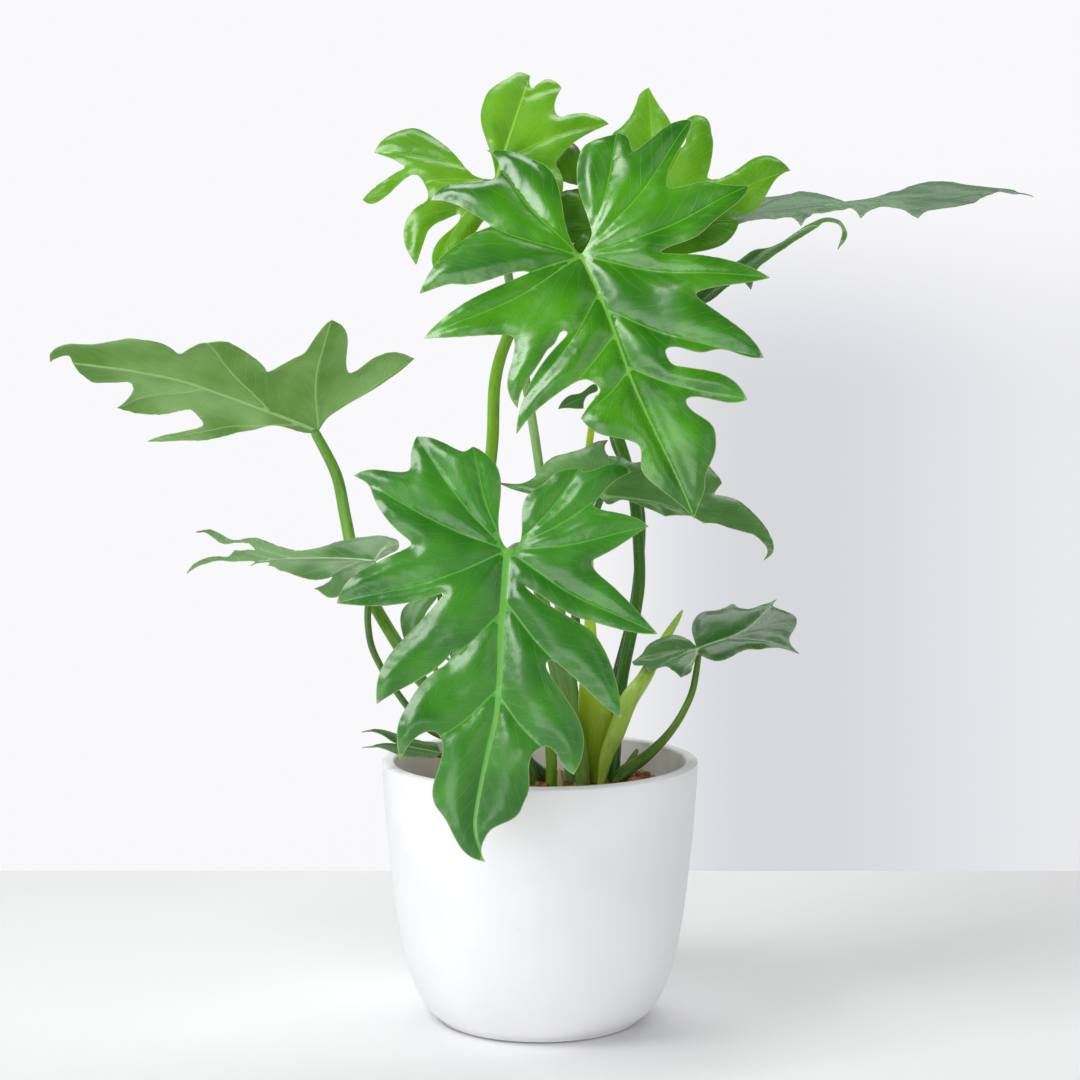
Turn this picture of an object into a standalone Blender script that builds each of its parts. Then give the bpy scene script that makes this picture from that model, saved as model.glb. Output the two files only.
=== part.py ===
"""Potted philodendron: a white round-bottomed pot, its soil and a crown of lobed leaves.

Every leaf blade, petiole, sheath and spear is its own closed solid.  Lengths are in
millimetres in the tables and become metres through MM; +Z is up, X is the plant's
width and -Y is its front.  The origin is the centre of the pot's foot, on the floor.
"""
import math

import bmesh
import bpy
from mathutils import Vector, geometry

MM = 0.001
GAP = 0.3             # clearance between pieces that touch, mm

# Pot: a turned shell with a slight taper, a rounded lower edge and a flat foot.
POT_OUTER = ((0, 0), (57, 0), (66, 3), (73.5, 9.5), (80, 21), (86.5, 42), (91.5, 68),
             (95.5, 102), (98.5, 136), (100, 162.5), (99.2, 165.7), (97.3, 166.5))
POT_INNER = ((94, 166.5), (92.6, 165.1), (92.4, 161.5), (90.8, 134), (87.5, 102), (83.5, 68),
             (78, 44), (71.5, 26), (61, 14.5), (48, 9.5), (0, 9))
POT_STEPS = 56        # facets round the pot

# Soil: fills the pot to a shallow mound round the crown.
SOIL_WALL = 137       # height of the soil at the pot's wall
SOIL_CROWN = 151      # height of the flat top under the petioles
CROWN_AT = (24, 6)    # middle of the crown
CROWN_REACH = (46, 30)  # half-widths of the flat top
SOIL_LEVELS = (102, 68, 44, 26, 14.5)  # heights where its side follows the pot's inside
SOIL_FOOT = 13        # height of its underside
SOIL_STEPS = 40
SOIL_RINGS = 7
FACET_SLACK = 0.4     # extra clearance for the facets of two round bodies
SLOPE_SLACK = 0.8     # extra clearance under a stalk that stands on the soil's slope

BLADE = 1.2           # thickness of a leaf blade
EDGE_STEPS = ((100, 16), (60, 12), (0, 7))  # (blade longer than, longest stretch of its edge)
FILL_STEP = 1.25      # spacing of the points inside a blade, in stretches of its edge
FILL_ROWS = 0.9       # spacing of their rows, in their own spacing
FILL_CLEAR = 0.45     # least distance from the edge, in their own spacing
FILL_REACH = 160      # half-size of the field of points
PETIOLE_SIDES = 8

# Leaves.  at: where blade and petiole meet; along: towards the tip; up: the glossy side.
# droop: bend of the tip and base parts, 1/m; twist: rad/m; left, right: (fold, curl) of
# each half, rad and 1/m.  The edge runs round the blade from the sinus as
# (kind, across, along, bulge, bulge); T tips, N notches, B plain bends; the two bulges
# push each stretch sideways by that part of its own length.
T, N, B = "T", "N", "B"
LEAVES = {
    "a": dict(
        at=(25, -45, 483),
        along=(0.39, -0.45, -0.8),
        up=(-0.04, -0.88, 0.48),
        droop=(1.6, 1.5), twist=0,
        left=(0.16, 2.2), right=(0.16, 2.2),
        edge=(
            (B, -12, -9, 0, 0), (B, -26, -62, 0, 0.15), (T, -54, -68, 0.35, 0.05),
            (N, -57, -50, 0.55, -0.05), (T, -101, -60, 0, 0.15), (N, -65, -18, 0.1, -0.15),
            (B, -90, -13, 0, 0), (T, -113, -1, -0.1, -0.1), (B, -74, 17, 0.15, 0),
            (N, -42, 19, 0.15, -0.1), (T, -98, 60, 0.05, 0.1), (N, -50, 53, 0.05, -0.05),
            (T, -73, 105, 0, 0.15), (B, -47, 89, 0.15, -0.15), (N, -20, 77, 0.25, -0.2),
            (B, -20, 88, 0, 0), (T, -53, 125, 0.05, 0.3), (N, -19, 110, 0.2, -0.15),
            (B, -26, 140, -0.2, 0.35), (B, -9, 165, 0.15, -0.2), (T, 4, 178, -0.05, -0.05),
            (B, 22, 143, -0.05, 0.05), (N, 22, 121, 0.15, -0.55), (T, 43, 98, 0.1, 0.3),
            (N, 24, 87, 0.05, 0.05), (B, 36, 76, -0.1, -0.4), (T, 82, 92, -0.05, -0.1),
            (N, 27, 46, 0.15, 0.1), (B, 44, 50, -0.65, 0.35), (T, 75, 77, 0.05, -0.15),
            (N, 59, 34, 0.3, -0.1), (T, 109, 15, 0, 0.05), (N, 32, 0, 0.1, 0.05),
            (B, 80, -12, -0.1, 0.15), (T, 100, -14, 0, 0), (N, 41, -39, 0.15, 0.15),
            (T, 69, -73, 0, -0.15), (N, 25, -71, 0.35, -0.1), (T, 23, -94, -0.25, -0.25),
            (B, -7, -66, 0.15, 0.15), (N, 0, 0, 0.1, -0.15),
        )),
    "b": dict(
        at=(-19, -105, 310),
        along=(-0.07, -0.47, -0.88),
        up=(0.03, -0.88, 0.47),
        droop=(1.2, 1.2), twist=0,
        left=(0.1, 2), right=(0.1, 2),
        edge=(
            (B, -5, -1, 0, 0), (B, -18, -43, -0.1, 0.4), (T, -39, -55, 0.2, 0.2),
            (N, -40, -52, 0, 0), (T, -70, -56, -0.05, 0.4), (N, -47, -31, -0.1, -0.05),
            (T, -82, -22, -0.05, 0.15), (N, -48, 4, 0, 0.1), (B, -54, 12, 0, 0),
            (T, -91, 45, 0.05, 0), (B, -44, 40, 0.1, 0), (N, -10, 21, 0.05, 0),
            (B, -54, 48, -0.1, 0), (T, -73, 97, 0.1, 0.1), (N, -29, 65, 0.05, -0.05),
            (N, -29, 74, -0.35, -0.35), (T, -48, 132, 0.1, 0.35), (B, -31, 116, 0.2, -0.2),
            (N, -26, 119, 0, 0), (B, -20, 150, -0.25, 0.2), (B, 0, 172, 0.35, -0.2),
            (T, -1, 185, -0.25, -0.25), (B, 29, 157, 0.3, -0.05), (N, 32, 113, 0.2, -0.25),
            (T, 52, 132, -0.3, -0.15), (B, 51, 102, 0.1, 0.2), (B, 29, 73, 0.1, 0.15),
            (N, 26, 62, 0, 0), (T, 68, 100, 0.15, 0), (N, 34, 30, 0.25, 0), (T, 97, 41, 0.1, 0.1),
            (N, 55, 1, 0.25, 0), (B, 85, -36, 0.15, 0.15), (T, 95, -41, 0, 0),
            (N, 61, -46, 0.2, -0.1), (T, 60, -69, 0.1, 0.1), (N, 30, -58, 0.15, 0),
            (T, 26, -64, 0, 0), (N, 0, 0, 0.4, -0.15),
        )),
    "c": dict(
        at=(-143, 45, 372),
        along=(-0.92, -0.1, 0.37),
        up=(0.22, 0.66, 0.72),
        droop=(2.2, -6), twist=1.8,
        left=(0.1, 1), right=(0.1, 1),
        edge=(
            (T, -88, -39, -0.15, 0.05), (N, -60, -3, 0.5, 0.1), (T, -111, 21, -0.05, 0.25),
            (N, -70, 28, 0.05, 0), (N, -40, 45, 0.1, -0.05), (B, -65, 76, 0.25, 0),
            (T, -61, 87, 0, 0), (N, -41, 101, 0.1, 0.1), (B, -58, 136, 0.15, 0.15),
            (T, -17, 178, -0.05, 0.6), (B, -25, 167, 0, 0), (B, 17, 146, 0.05, 0.05),
            (N, 4, 124, 0.1, 0.1), (T, 51, 124, -0.15, -0.15), (B, 52, 103, 0.35, 0.35),
            (N, 28, 81, 0.1, 0.1), (N, 45, 68, -0.05, -0.05), (T, 95, 97, -0.05, 0.05),
            (B, 22, 34, 0.1, 0.05), (N, 0, 0, -0.3, 0.25),
        )),
    "d": dict(
        at=(-103, -20, 295),
        along=(-0.99, -0.1, 0.03),
        up=(0.05, -0.2, 0.98),
        droop=(2, 2), twist=0,
        left=(-0.05, 3), right=(0.15, 1),
        edge=(
            (T, 30, -16, -0.2, -0.2), (T, 36, -15, 0, 0), (B, 33, 10, -0.1, -0.1),
            (B, 25, 18, 0, 0), (N, 17, 46, -0.2, 0.15), (B, 42, 81, 0.15, -0.05),
            (B, 68, 102, 0.1, 0.1), (T, 69, 112, 0, 0), (B, 45, 94, 0.15, -0.1),
            (B, 30, 76, 0.1, 0.1), (N, 19, 73, 0, 0), (T, 30, 87, 0, 0), (B, 19, 90, 0, 0),
            (T, 7, 117, -0.35, -0.35), (N, 8, 73, 0.3, 0.05), (T, 2, 77, 0, 0),
            (N, 3, 64, 0.35, 0.35), (T, -1, 66, 0, 0), (N, -24, 26, -0.1, -0.45),
            (T, -38, 38, 0.25, 0.25), (N, -42, 16, -0.3, -1.1), (T, -45, 3, -1, -1),
            (N, 0, 0, 0, 0),
        )),
    "e": dict(
        at=(-28, 20, 532),
        along=(0.28, 0.58, 0.77),
        up=(-0.02, -0.79, 0.61),
        droop=(1.5, 2), twist=0,
        left=(0.1, 2.5), right=(0.1, 2.5),
        edge=(
            (B, -26, 60, -0.05, 0.15), (B, -13, 95, 0.2, 0), (T, -5, 94, 0, 0),
            (N, 0, 82, -0.15, -0.15), (T, 18, 88, 0.45, 0.8), (N, 25, 60, -0.05, -0.3),
            (T, 56, 65, 0.2, 0.3), (N, 32, 22, -0.05, -0.05), (T, 44, -3, 0.15, 0.15),
            (N, 25, -8, 0.2, 0.2), (T, 29, -42, 0.15, 0.15), (N, 6, -4, 0.2, 0.05),
            (T, -17, -76, 0.1, 0.1), (N, -12, -33, 0.3, 0), (B, -14, -30, 0, 0),
            (B, -29, -49, -0.05, -0.05), (T, -29, -75, 0, 0), (N, -34, -28, 0.3, 0.4),
            (T, -76, -37, -1.2, 0.45), (N, -56, -7, 0.1, 0.1), (T, -81, 2, -0.05, -0.05),
            (B, -63, 27, 0.2, 0.2), (B, -17, 0, 0.15, 0.05), (N, 0, 0, -0.15, -0.15),
        )),
    "f": dict(
        at=(63, 30, 510),
        along=(0.15, -0.53, -0.84),
        up=(-0.08, -0.85, 0.52),
        droop=(1.5, 1.5), twist=0,
        left=(0.1, 2), right=(0.1, 2),
        edge=(
            (B, 7, -67, 0, 0.05), (B, -16, -97, -0.15, -0.15), (T, -23, -100, 0, 0),
            (N, -31, -44, 0, 0.15), (T, -49, -68, -0.45, 0.45), (B, -56, -46, 0.45, 0),
            (N, -46, -17, 0.05, 0.05), (T, -100, -14, -0.2, 0.6), (N, -54, 14, -0.15, 0.4),
            (T, -61, 18, 0, 0), (N, -14, 36, 0.4, 0.05), (T, -22, 60, 0, 0),
            (N, -2, 49, 0.25, 0.25), (T, 6, 91, 0.15, 0.15), (N, 13, 52, 0.15, 0.15),
            (T, 34, 77, 0, 0), (N, 30, 36, 0.2, 0.2), (T, 61, 30, 0, 0), (N, 37, 11, 0.1, 0.1),
            (T, 59, 3, 0.4, 0.4), (N, 28, -25, 0.25, 0.6), (T, 55, -41, 0, 0),
            (N, 16, -27, 1.8, -0.55), (T, 20, -53, 0, 0), (N, 0, 0, 0.25, -0.15),
        )),
    "g": dict(
        at=(100, 88, 507),
        along=(0.99, 0, 0.11),
        up=(-0.11, -0.25, 0.96),
        droop=(0.6, 0.6), twist=0,
        left=(0, 0.3), right=(0, 0.3),
        edge=(
            (T, -59, 14, 0.05, 0.05), (N, -27, 41, -0.05, -0.05), (T, -63, 76, 0.2, 0.05),
            (N, -22, 104, 0.3, 0.05), (N, -31, 122, -0.05, -0.05), (T, -73, 161, 0.05, 0),
            (B, -59, 222, 0.3, -0.2), (T, -33, 232, 0, 0), (B, -48, 213, -0.05, -0.05),
            (B, -11, 187, 0, 0), (T, 25, 145, 0.1, -0.2), (N, -5, 125, 0, -0.3),
            (T, 21, 108, -0.05, -0.05), (N, -3, 105, -0.05, -0.05), (N, 5, 79, 0.1, 0.1),
            (T, 38, 67, 0, 0), (N, 11, 62, -0.05, -0.05), (N, 23, 18, 0.1, -0.15),
            (T, 41, 5, -0.15, -0.15), (N, 0, 0, 0.05, 0.05),
        )),
    "h": dict(
        at=(38, 2, 334),
        along=(0.99, 0.06, -0.14),
        up=(0.14, -0.66, 0.74),
        droop=(2.5, 1), twist=0,
        left=(0.1, 2), right=(0.1, 2),
        edge=(
            (T, -1, -65, 0.2, 0.2), (B, -1, -52, 0, 0), (B, -30, -25, -0.25, 0.25),
            (T, -48, 3, -0.1, 0.1), (N, -33, 3, -0.2, -0.2), (T, -34, 13, 0, 0), (N, -29, 18, 0, 0),
            (T, -31, 79, 0.1, 0.7), (N, -18, 73, -0.05, -0.05), (B, -8, 109, 0.3, 0.1),
            (T, 25, 108, 0.3, 0.3), (B, 3, 102, -0.35, -0.35), (B, 7, 68, 0.15, -0.15),
            (N, 3, 59, 0, 0), (T, 9, 42, 0, 0), (N, 0, 14, 0.05, -0.05), (N, 0, 0, 0.15, 1.25),
        )),
    "i": dict(
        at=(101, 20, 234),
        along=(0.92, 0.23, 0.31),
        up=(-0.19, -0.44, 0.88),
        droop=(4, 1), twist=0,
        left=(0.1, 2), right=(0.1, 2),
        edge=(
            (N, -20, -27, -0.4, -0.4), (T, -12, -41, 0.2, 0.2), (N, -4, -36, -0.45, -0.45),
            (T, 7, -36, 0, 0), (N, 7, -25, 0.25, 0.25), (T, 25, -22, 0, 0),
            (T, 20, -12, -0.45, -0.45), (N, 5, -2, 0, 0), (B, 21, 2, -0.1, -0.1),
            (B, 24, 32, -0.2, 0.25), (T, 37, 54, 0.1, 0.1), (B, -3, 71, 0.3, 0),
            (T, -32, 70, -0.25, 0.6), (B, -23, 48, 0, 0), (B, -36, 41, 0.3, 0.3),
            (B, -34, 20, 0.2, 0.2), (N, -2, 0, -0.3, -0.1),
        )),
    "j": dict(
        at=(-62, -30, 175),
        along=(-0.98, 0, 0.21),
        up=(0.19, -0.43, 0.88),
        droop=(1, 1), twist=0,
        left=(0.2, 3), right=(0.1, 3),
        edge=(
            (B, 10, 4, 0, 0), (T, 6, 51, 0.15, -0.25), (N, 0, 26, 0.3, 0),
            (T, -12, 48, -0.2, -0.05), (B, -15, 24, 0.35, 0.05), (N, 0, 0, 0.05, -0.45),
        )),
    "k": dict(
        at=(-62, -30, 276),
        along=(-0.5, -0.35, -0.79),
        up=(-0.21, -0.84, 0.51),
        droop=(1, 1), twist=0,
        left=(0.1, 1.5), right=(0.1, 0.5),
        edge=(
            (T, -9, 51, -0.75, -0.1), (T, -32, 37, 0.3, 0.3), (N, -3, 25, -0.05, -0.05),
            (N, 0, 0, 0.25, 0),
        )),
    "l": dict(
        at=(38, 30, 399),
        along=(-0.94, -0.12, -0.33),
        up=(-0.01, -0.94, 0.35),
        droop=(4, 1), twist=0,
        left=(0.2, 8), right=(0.2, 8),
        edge=(
            (N, 2, 1, 0, 0), (B, 5, 0, 0, 0), (B, 4, 17, -0.15, 0.35), (T, -2, 29, -0.15, -0.15),
            (T, -8, 14, 0.15, -0.1), (N, -1, 0, 0.4, 0.35),
        )),
    "m": dict(
        at=(103, 30, 456),
        along=(0.83, 0, 0.56),
        up=(-0.45, -0.61, 0.66),
        droop=(1, 1), twist=0,
        left=(0, 1.5), right=(0, 0.5),
        edge=(
            (B, -14, 5, 0.4, 0.4), (B, -13, 48, 0, 0), (B, -7, 87, -0.3, 0.05),
            (B, 5, 101, 0.2, 0.2), (T, 27, 88, 0.15, 0.4), (B, -2, 92, -0.25, -0.5),
            (N, 4, 40, 0.05, -0.05), (T, 16, 29, 0, 0), (N, 2, -1, -0.85, 0.3),
        )),
}
# Petioles: (x, y, z, radius) from the crown up; each ends just under its own blade.
PETIOLES = {
    "a": ((7, -13, 0, 3.4), (7, -12, 172, 3.6), (4, 2, 203, 4), (-20, 18, 255, 4), (-31, 20, 300, 3.9),
          (-33, 20, 335, 3.9), (-30, 14, 369, 3.9), (-28, 4, 407, 3.8), (-19, -8, 436, 3.7),
          (-4, -19, 459, 3.5)),
    "b": ((27, -9, 0, 4.6), (24, -10, 175, 6), (16, -13, 206, 6), (7, -22, 245, 5), (-1, -42, 282, 3.9),
          (-10, -66, 307, 3.2)),
    "c": ((6, 4, 0, 4), (-6, 6, 161, 4.3), (-26, 10, 177, 4.2), (-57, 6, 199, 4.1), (-76, 2, 217, 4.1),
          (-92, 8, 241, 4), (-107, 20, 264, 4), (-118, 32, 283, 4), (-126, 46, 316, 3.9),
          (-132, 48, 344, 3.7)),
    "d": ((-2, 20, 0, 3), (-16, 24, 158, 2.7), (-39, 26, 169, 2.6), (-70, 20, 181, 2.4), (-90, 12, 205, 2.2),
          (-105, 10, 231, 2.2), (-109, 6, 249, 2.2), (-108, -4, 268, 2.2)),
    "e": ((20, 2, 0, 5.2), (21, 12, 180, 4.4), (21, 22, 207, 3.6), (12, 32, 264, 3.2), (0, 42, 346, 3),
          (-5, 44, 379, 3), (-20, 38, 471, 2.9), (-25, 32, 500, 2.8)),
    "f": ((47, 12, 0, 4.2), (49, 20, 180, 4), (53, 32, 212, 3.9), (62, 46, 254, 3.8), (65, 54, 281, 3.8),
          (62, 62, 325, 3.7), (56, 64, 352, 3.6), (48, 62, 379, 3.5), (47, 60, 401, 3.3),
          (54, 54, 450, 3.1), (59, 47, 482, 2.9)),
    "g": ((39, 17, 0, 3.6), (42, 33, 182, 3.5), (50, 47, 212, 3.4), (61.5, 64, 254, 3.3), (66, 76, 290, 3.2),
          (66, 80, 318, 3.2), (59, 82, 343, 3.1), (49, 84, 366, 3.1), (50, 88, 397, 3), (66, 92, 440, 2.9),
          (88, 91, 480, 2.8)),
    "h": ((31, 21, 0, 3.4), (31, 23, 175, 3.2), (30, 24, 205, 3.1), (23, 24, 250, 2.9), (25, 20, 289, 2.8),
          (32, 12, 314, 2.6)),
    "i": ((47, -4, 0, 3.8), (50, -3, 155, 4.2), (57, 2, 160, 4.3), (65, 6, 164.5, 3.8), (73, 8, 171, 3.2),
          (82, 11, 180, 2.7),
          (90, 14, 191, 2.4), (97, 17, 205, 2.2), (100, 19, 218, 2.1)),
    "j": ((-12, -3, 0, 2.4), (-18, -5, 158, 2.4), (-30, -10, 165, 2.3), (-48, -20, 170, 2.1)),
    "k": ((-3, -6, 0, 2.6), (-8, -7, 170, 2.5), (-22, -8, 191, 2.4), (-49, -18, 223, 2.1),
          (-59, -24, 256, 2)),
    "m": ((47, 24, 0, 3), (49, 38, 175, 2.9), (53, 54, 205, 2.8), (63, 80, 254, 2.6), (67, 90, 290, 2.5),
          (67, 94, 318, 2.5), (60, 96, 343, 2.4), (50, 98, 366, 2.4), (66, 88, 410, 2.3),
          (88, 54, 436, 2.2)),
}
# Other stalks with no blade of their own, or with a flattened sheath: (x, y, z, half width, half depth).
STALKS = {
    "sheath_l": ((37, 1, 0, 4, 3.6), (38, 1, 163, 7, 4.4), (38, 0, 186, 12, 4.2), (36.5, 0, 204, 12.5, 3.8),
                 (34, 3, 224, 8, 3.2), (32, 9, 243, 4.2, 2.8), (32, 27, 289, 2.3, 2.3),
                 (31, 39, 337, 2.3, 2.3), (32, 41, 366, 2.3, 2.3), (37, 35, 394, 2, 2)),
    "spear": ((38.5, -10, 0, 2.4, 2.4), (42, -11, 170, 4.4, 3.4), (48, -11, 185, 5.6, 4.2),
              (56, -3, 204, 5.8, 4.4), (67.5, 21, 216, 4.7, 3.8), (80.5, 42, 236, 3.2, 2.8),
              (89, 47, 249, 2, 2), (92.5, 48, 255, 0.7, 0.7)),
    "yellow_petiole": ((-14, 8, 0, 2.2, 2.2), (-26, -2, 172, 2, 2), (-44, -8, 192, 1.9, 1.9),
                       (-66, -12, 226, 1.8, 1.8), (-74, -12, 257, 1.7, 1.7), (-82, -6, 276, 1.6, 1.6),
                       (-88, 2, 293, 1.4, 1.4)),
    "crown_scale": ((13, -19, 0, 2, 1.6), (12.6, -19.5, 155, 1.8, 1.4), (12, -20, 163, 0.8, 0.7)),
    "crown_sheath": ((55, 8, 0, 3, 1.4), (57.5, 9, 161, 3, 1.4), (62, 10, 170, 1.2, 0.8)),
    "dead_stalk": ((-70, -30, 0, 1, 1), (-73, -30, 147, 1, 1), (-76, -29, 157, 3, 2.4),
                   (-80, -28, 161, 1.6, 1.4)),
}

# Colour (linear RGB) and roughness of each kind of plain material, and a tint for each leaf.
LOOKS = {
    "pot": ((0.86, 0.86, 0.87), 0.55),
    "soil": ((0.09, 0.045, 0.025), 0.95),
    "blade": ((0.06, 0.26, 0.03), 0.35),
    "petiole": ((0.14, 0.33, 0.05), 0.4),
    "sheath": ((0.35, 0.45, 0.05), 0.45),
    "dry": ((0.35, 0.2, 0.09), 0.8),
}
TINTS = {"a": 1.1, "b": 0.9, "c": 1.15, "d": 0.95, "e": 1.3, "f": 1.2, "g": 0.9, "h": 0.7, "i": 0.8,
         "j": 0.7, "k": 0.7, "l": 0.75, "m": 0.8}


def material(name, kind, tint=1.0):
    """A plain Principled material of one kind, lightened or darkened by tint."""
    colour, roughness = LOOKS[kind]
    made = bpy.data.materials.new(name)
    made.use_nodes = True
    shader = made.node_tree.nodes["Principled BSDF"]
    shader.inputs["Base Color"].default_value = tuple(min(1.0, c * tint) for c in colour) + (1.0,)
    shader.inputs["Roughness"].default_value = roughness
    shader.inputs["Metallic"].default_value = 0.0
    return made


def add_object(name, points, faces, look, place=(0.0, 0.0, 0.0)):
    """One closed body from points in metres; faces are turned outwards."""
    mesh = bpy.data.meshes.new(name)
    mesh.from_pydata(points, [], faces)
    body = bmesh.new()
    body.from_mesh(mesh)
    bmesh.ops.recalc_face_normals(body, faces=body.faces)
    bmesh.ops.triangulate(body, faces=body.faces)
    body.to_mesh(mesh)
    body.free()
    mesh.materials.append(look)
    made = bpy.data.objects.new(name, mesh)
    made.location = place
    bpy.context.scene.collection.objects.link(made)
    return made


def turned(name, profile, steps, look):
    """A body turned round +Z from a profile that starts and ends on the axis."""
    points = []
    rings = []
    for radius, height in profile:
        if radius == 0:
            rings.append([len(points)])
            points.append((0, 0, height * MM))
            continue
        ring = []
        for step in range(steps):
            angle = 2 * math.pi * step / steps
            ring.append(len(points))
            points.append((radius * MM * math.cos(angle), radius * MM * math.sin(angle), height * MM))
        rings.append(ring)
    faces = []
    for low, high in zip(rings[:-1], rings[1:]):
        faces += strip(low, high)
    return add_object(name, points, faces, look)


def strip(low, high):
    """Faces between two rings; either ring may be a single point."""
    faces = []
    count = max(len(low), len(high))
    for i in range(count):
        j = (i + 1) % count
        if len(low) == 1:
            faces.append((low[0], high[j], high[i]))
        elif len(high) == 1:
            faces.append((low[i], low[j], high[0]))
        else:
            faces.append((low[i], low[j], high[j], high[i]))
    return faces


def soil_height(x, y):
    """Height of the soil in mm: flat under the crown, sloping to the wall."""
    far = math.hypot((x - CROWN_AT[0]) / CROWN_REACH[0], (y - CROWN_AT[1]) / CROWN_REACH[1])
    fall = min(1.0, max(0.0, far - 1.0) / 0.9)
    ease = fall * fall * (3 - 2 * fall)
    return SOIL_CROWN - (SOIL_CROWN - SOIL_WALL) * ease


def inner_radius(height):
    """Radius of the pot's inside at a height, from its profile."""
    for (r1, z1), (r2, z2) in zip(POT_INNER[:-1], POT_INNER[1:]):
        if z2 <= height <= z1 and z1 > z2:
            return r2 + (r1 - r2) * (height - z2) / (z1 - z2)
    return 0.0


def make_soil():
    """Soil: a mounded top, a wall that follows the pot's inside and a flat underside."""
    shrink = math.cos(math.pi / POT_STEPS)
    points = [(0, 0, soil_height(0, 0) * MM)]
    rings = [[0]]
    top = (inner_radius(SOIL_WALL) - GAP) * shrink - FACET_SLACK
    for i in range(1, SOIL_RINGS + 1):
        radius = top * i / SOIL_RINGS
        ring = []
        for step in range(SOIL_STEPS):
            angle = 2 * math.pi * step / SOIL_STEPS
            x = radius * math.cos(angle)
            y = radius * math.sin(angle)
            height = SOIL_WALL if i == SOIL_RINGS else soil_height(x, y)
            ring.append(len(points))
            points.append((x * MM, y * MM, height * MM))
        rings.append(ring)
    for height in SOIL_LEVELS:
        radius = (inner_radius(height) - GAP) * shrink - FACET_SLACK
        ring = []
        for step in range(SOIL_STEPS):
            angle = 2 * math.pi * step / SOIL_STEPS
            ring.append(len(points))
            points.append((radius * MM * math.cos(angle), radius * MM * math.sin(angle), height * MM))
        rings.append(ring)
    rings.append([len(points)])
    points.append((0, 0, SOIL_FOOT * MM))
    faces = []
    for low, high in zip(rings[:-1], rings[1:]):
        faces += strip(low, high)
    return add_object("soil", points, faces, material("soil", "soil"))


def smooth_path(stations, count):
    """Stations resampled along a Catmull-Rom curve."""
    ends = [stations[0]] + list(stations) + [stations[-1]]
    spans = len(stations) - 1
    made = []
    for i in range(count + 1):
        place = spans * i / count
        span = min(spans - 1, int(place))
        t = place - span
        four = ends[span:span + 4]
        made.append([0.5 * (2 * b + (c - a) * t + (2 * a - 5 * b + 4 * c - d) * t * t
                            + (3 * b - a - 3 * c + d) * t ** 3)
                     for a, b, c, d in zip(*four)])
    return made


def make_stalk(name, stations, look):
    """A tapering stalk with an oval section that stands on the soil."""
    first = stations[0]
    soil = soil_height(first[0], first[1])
    ground = soil + GAP + (SLOPE_SLACK if soil < SOIL_CROWN else 0)
    stations = [(first[0], first[1], ground) + tuple(first[3:])] + list(stations[1:])
    path = smooth_path(stations, 3 * (len(stations) - 1))
    centres = [Vector(p[:3]) for p in path]
    side = Vector((1, 0, 0))
    points = []
    rings = []
    for i, (centre, station) in enumerate(zip(centres, path)):
        ahead = (centres[min(i + 1, len(path) - 1)] - centres[max(i - 1, 0)]).normalized()
        if i == 0:
            ahead = Vector((0, 0, 1))
        side = (side - ahead * side.dot(ahead)).normalized()
        depth = ahead.cross(side)
        ring = []
        for step in range(PETIOLE_SIDES):
            angle = 2 * math.pi * step / PETIOLE_SIDES
            where = centre + side * station[3] * math.cos(angle)
            where += depth * station[4] * math.sin(angle)
            where.z = max(where.z, ground)
            ring.append(len(points))
            points.append(tuple(where * MM))
        rings.append(ring)
    faces = []
    for low, high in zip(rings[:-1], rings[1:]):
        faces += strip(low, high)
    faces.append(tuple(rings[0][::-1]))
    faces.append(tuple(rings[-1]))
    return add_object(name, points, faces, look)


class Blade:
    """The bent surface that a leaf blade lies on."""

    def __init__(self, leaf):
        self.at = Vector(leaf["at"])
        self.along = Vector(leaf["along"]).normalized()
        up = Vector(leaf["up"])
        self.up = (up - self.along * up.dot(self.along)).normalized()
        self.across = self.along.cross(self.up)
        self.leaf = leaf

    def point(self, u, v):
        """Point in mm for u mm across and v mm along the blade."""
        bend = (self.leaf["droop"][0] if v >= 0 else self.leaf["droop"][1]) * MM or 1e-9
        angle = bend * v
        spine = self.at + self.along * (math.sin(angle) / bend)
        spine -= self.up * ((1 - math.cos(angle)) / bend)
        rise = self.up * math.cos(angle) + self.along * math.sin(angle)
        turn = self.leaf["twist"] * MM * v
        side = self.across * math.cos(turn) + rise * math.sin(turn)
        lift = rise * math.cos(turn) - self.across * math.sin(turn)
        fold, curl = self.leaf["left"] if u < 0 else self.leaf["right"]
        curl = curl * MM or 1e-9
        reach = (math.sin(fold) - math.sin(fold - curl * abs(u))) / curl
        height = (math.cos(fold - curl * abs(u)) - math.cos(fold)) / curl
        return spine + side * math.copysign(reach, u) + lift * height

    def normal(self, u, v):
        """Unit vector out of the glossy side."""
        step_u = self.point(u + 0.5, v) - self.point(u - 0.5, v)
        step_v = self.point(u, v + 0.5) - self.point(u, v - 0.5)
        return step_u.cross(step_v).normalized()


def joint(leaf, radius):
    """Station where a petiole ends, clear of the back of its blade."""
    place = Vector(leaf["at"]) - Blade(leaf).up * (radius + BLADE / 2 + GAP)
    return tuple(place) + (radius, radius)


def outline(leaf, longest):
    """Points round the blade; no stretch between them is longer than about longest mm."""
    points = []
    x0, y0 = 0.0, 0.0
    for _kind, x1, y1, b1, b2 in leaf["edge"]:
        dx, dy = x1 - x0, y1 - y0
        parts = max(1, round(math.hypot(dx, dy) / longest))
        if b1 or b2:
            parts = max(2, parts)
        for i in range(parts):
            t = i / parts
            push = 3 * t * (1 - t) ** 2 * b1 + 3 * t * t * (1 - t) * b2
            points.append((x0 + dx * t - dy * push, y0 + dy * t + dx * push))
        x0, y0 = x1, y1
    return points


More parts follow.
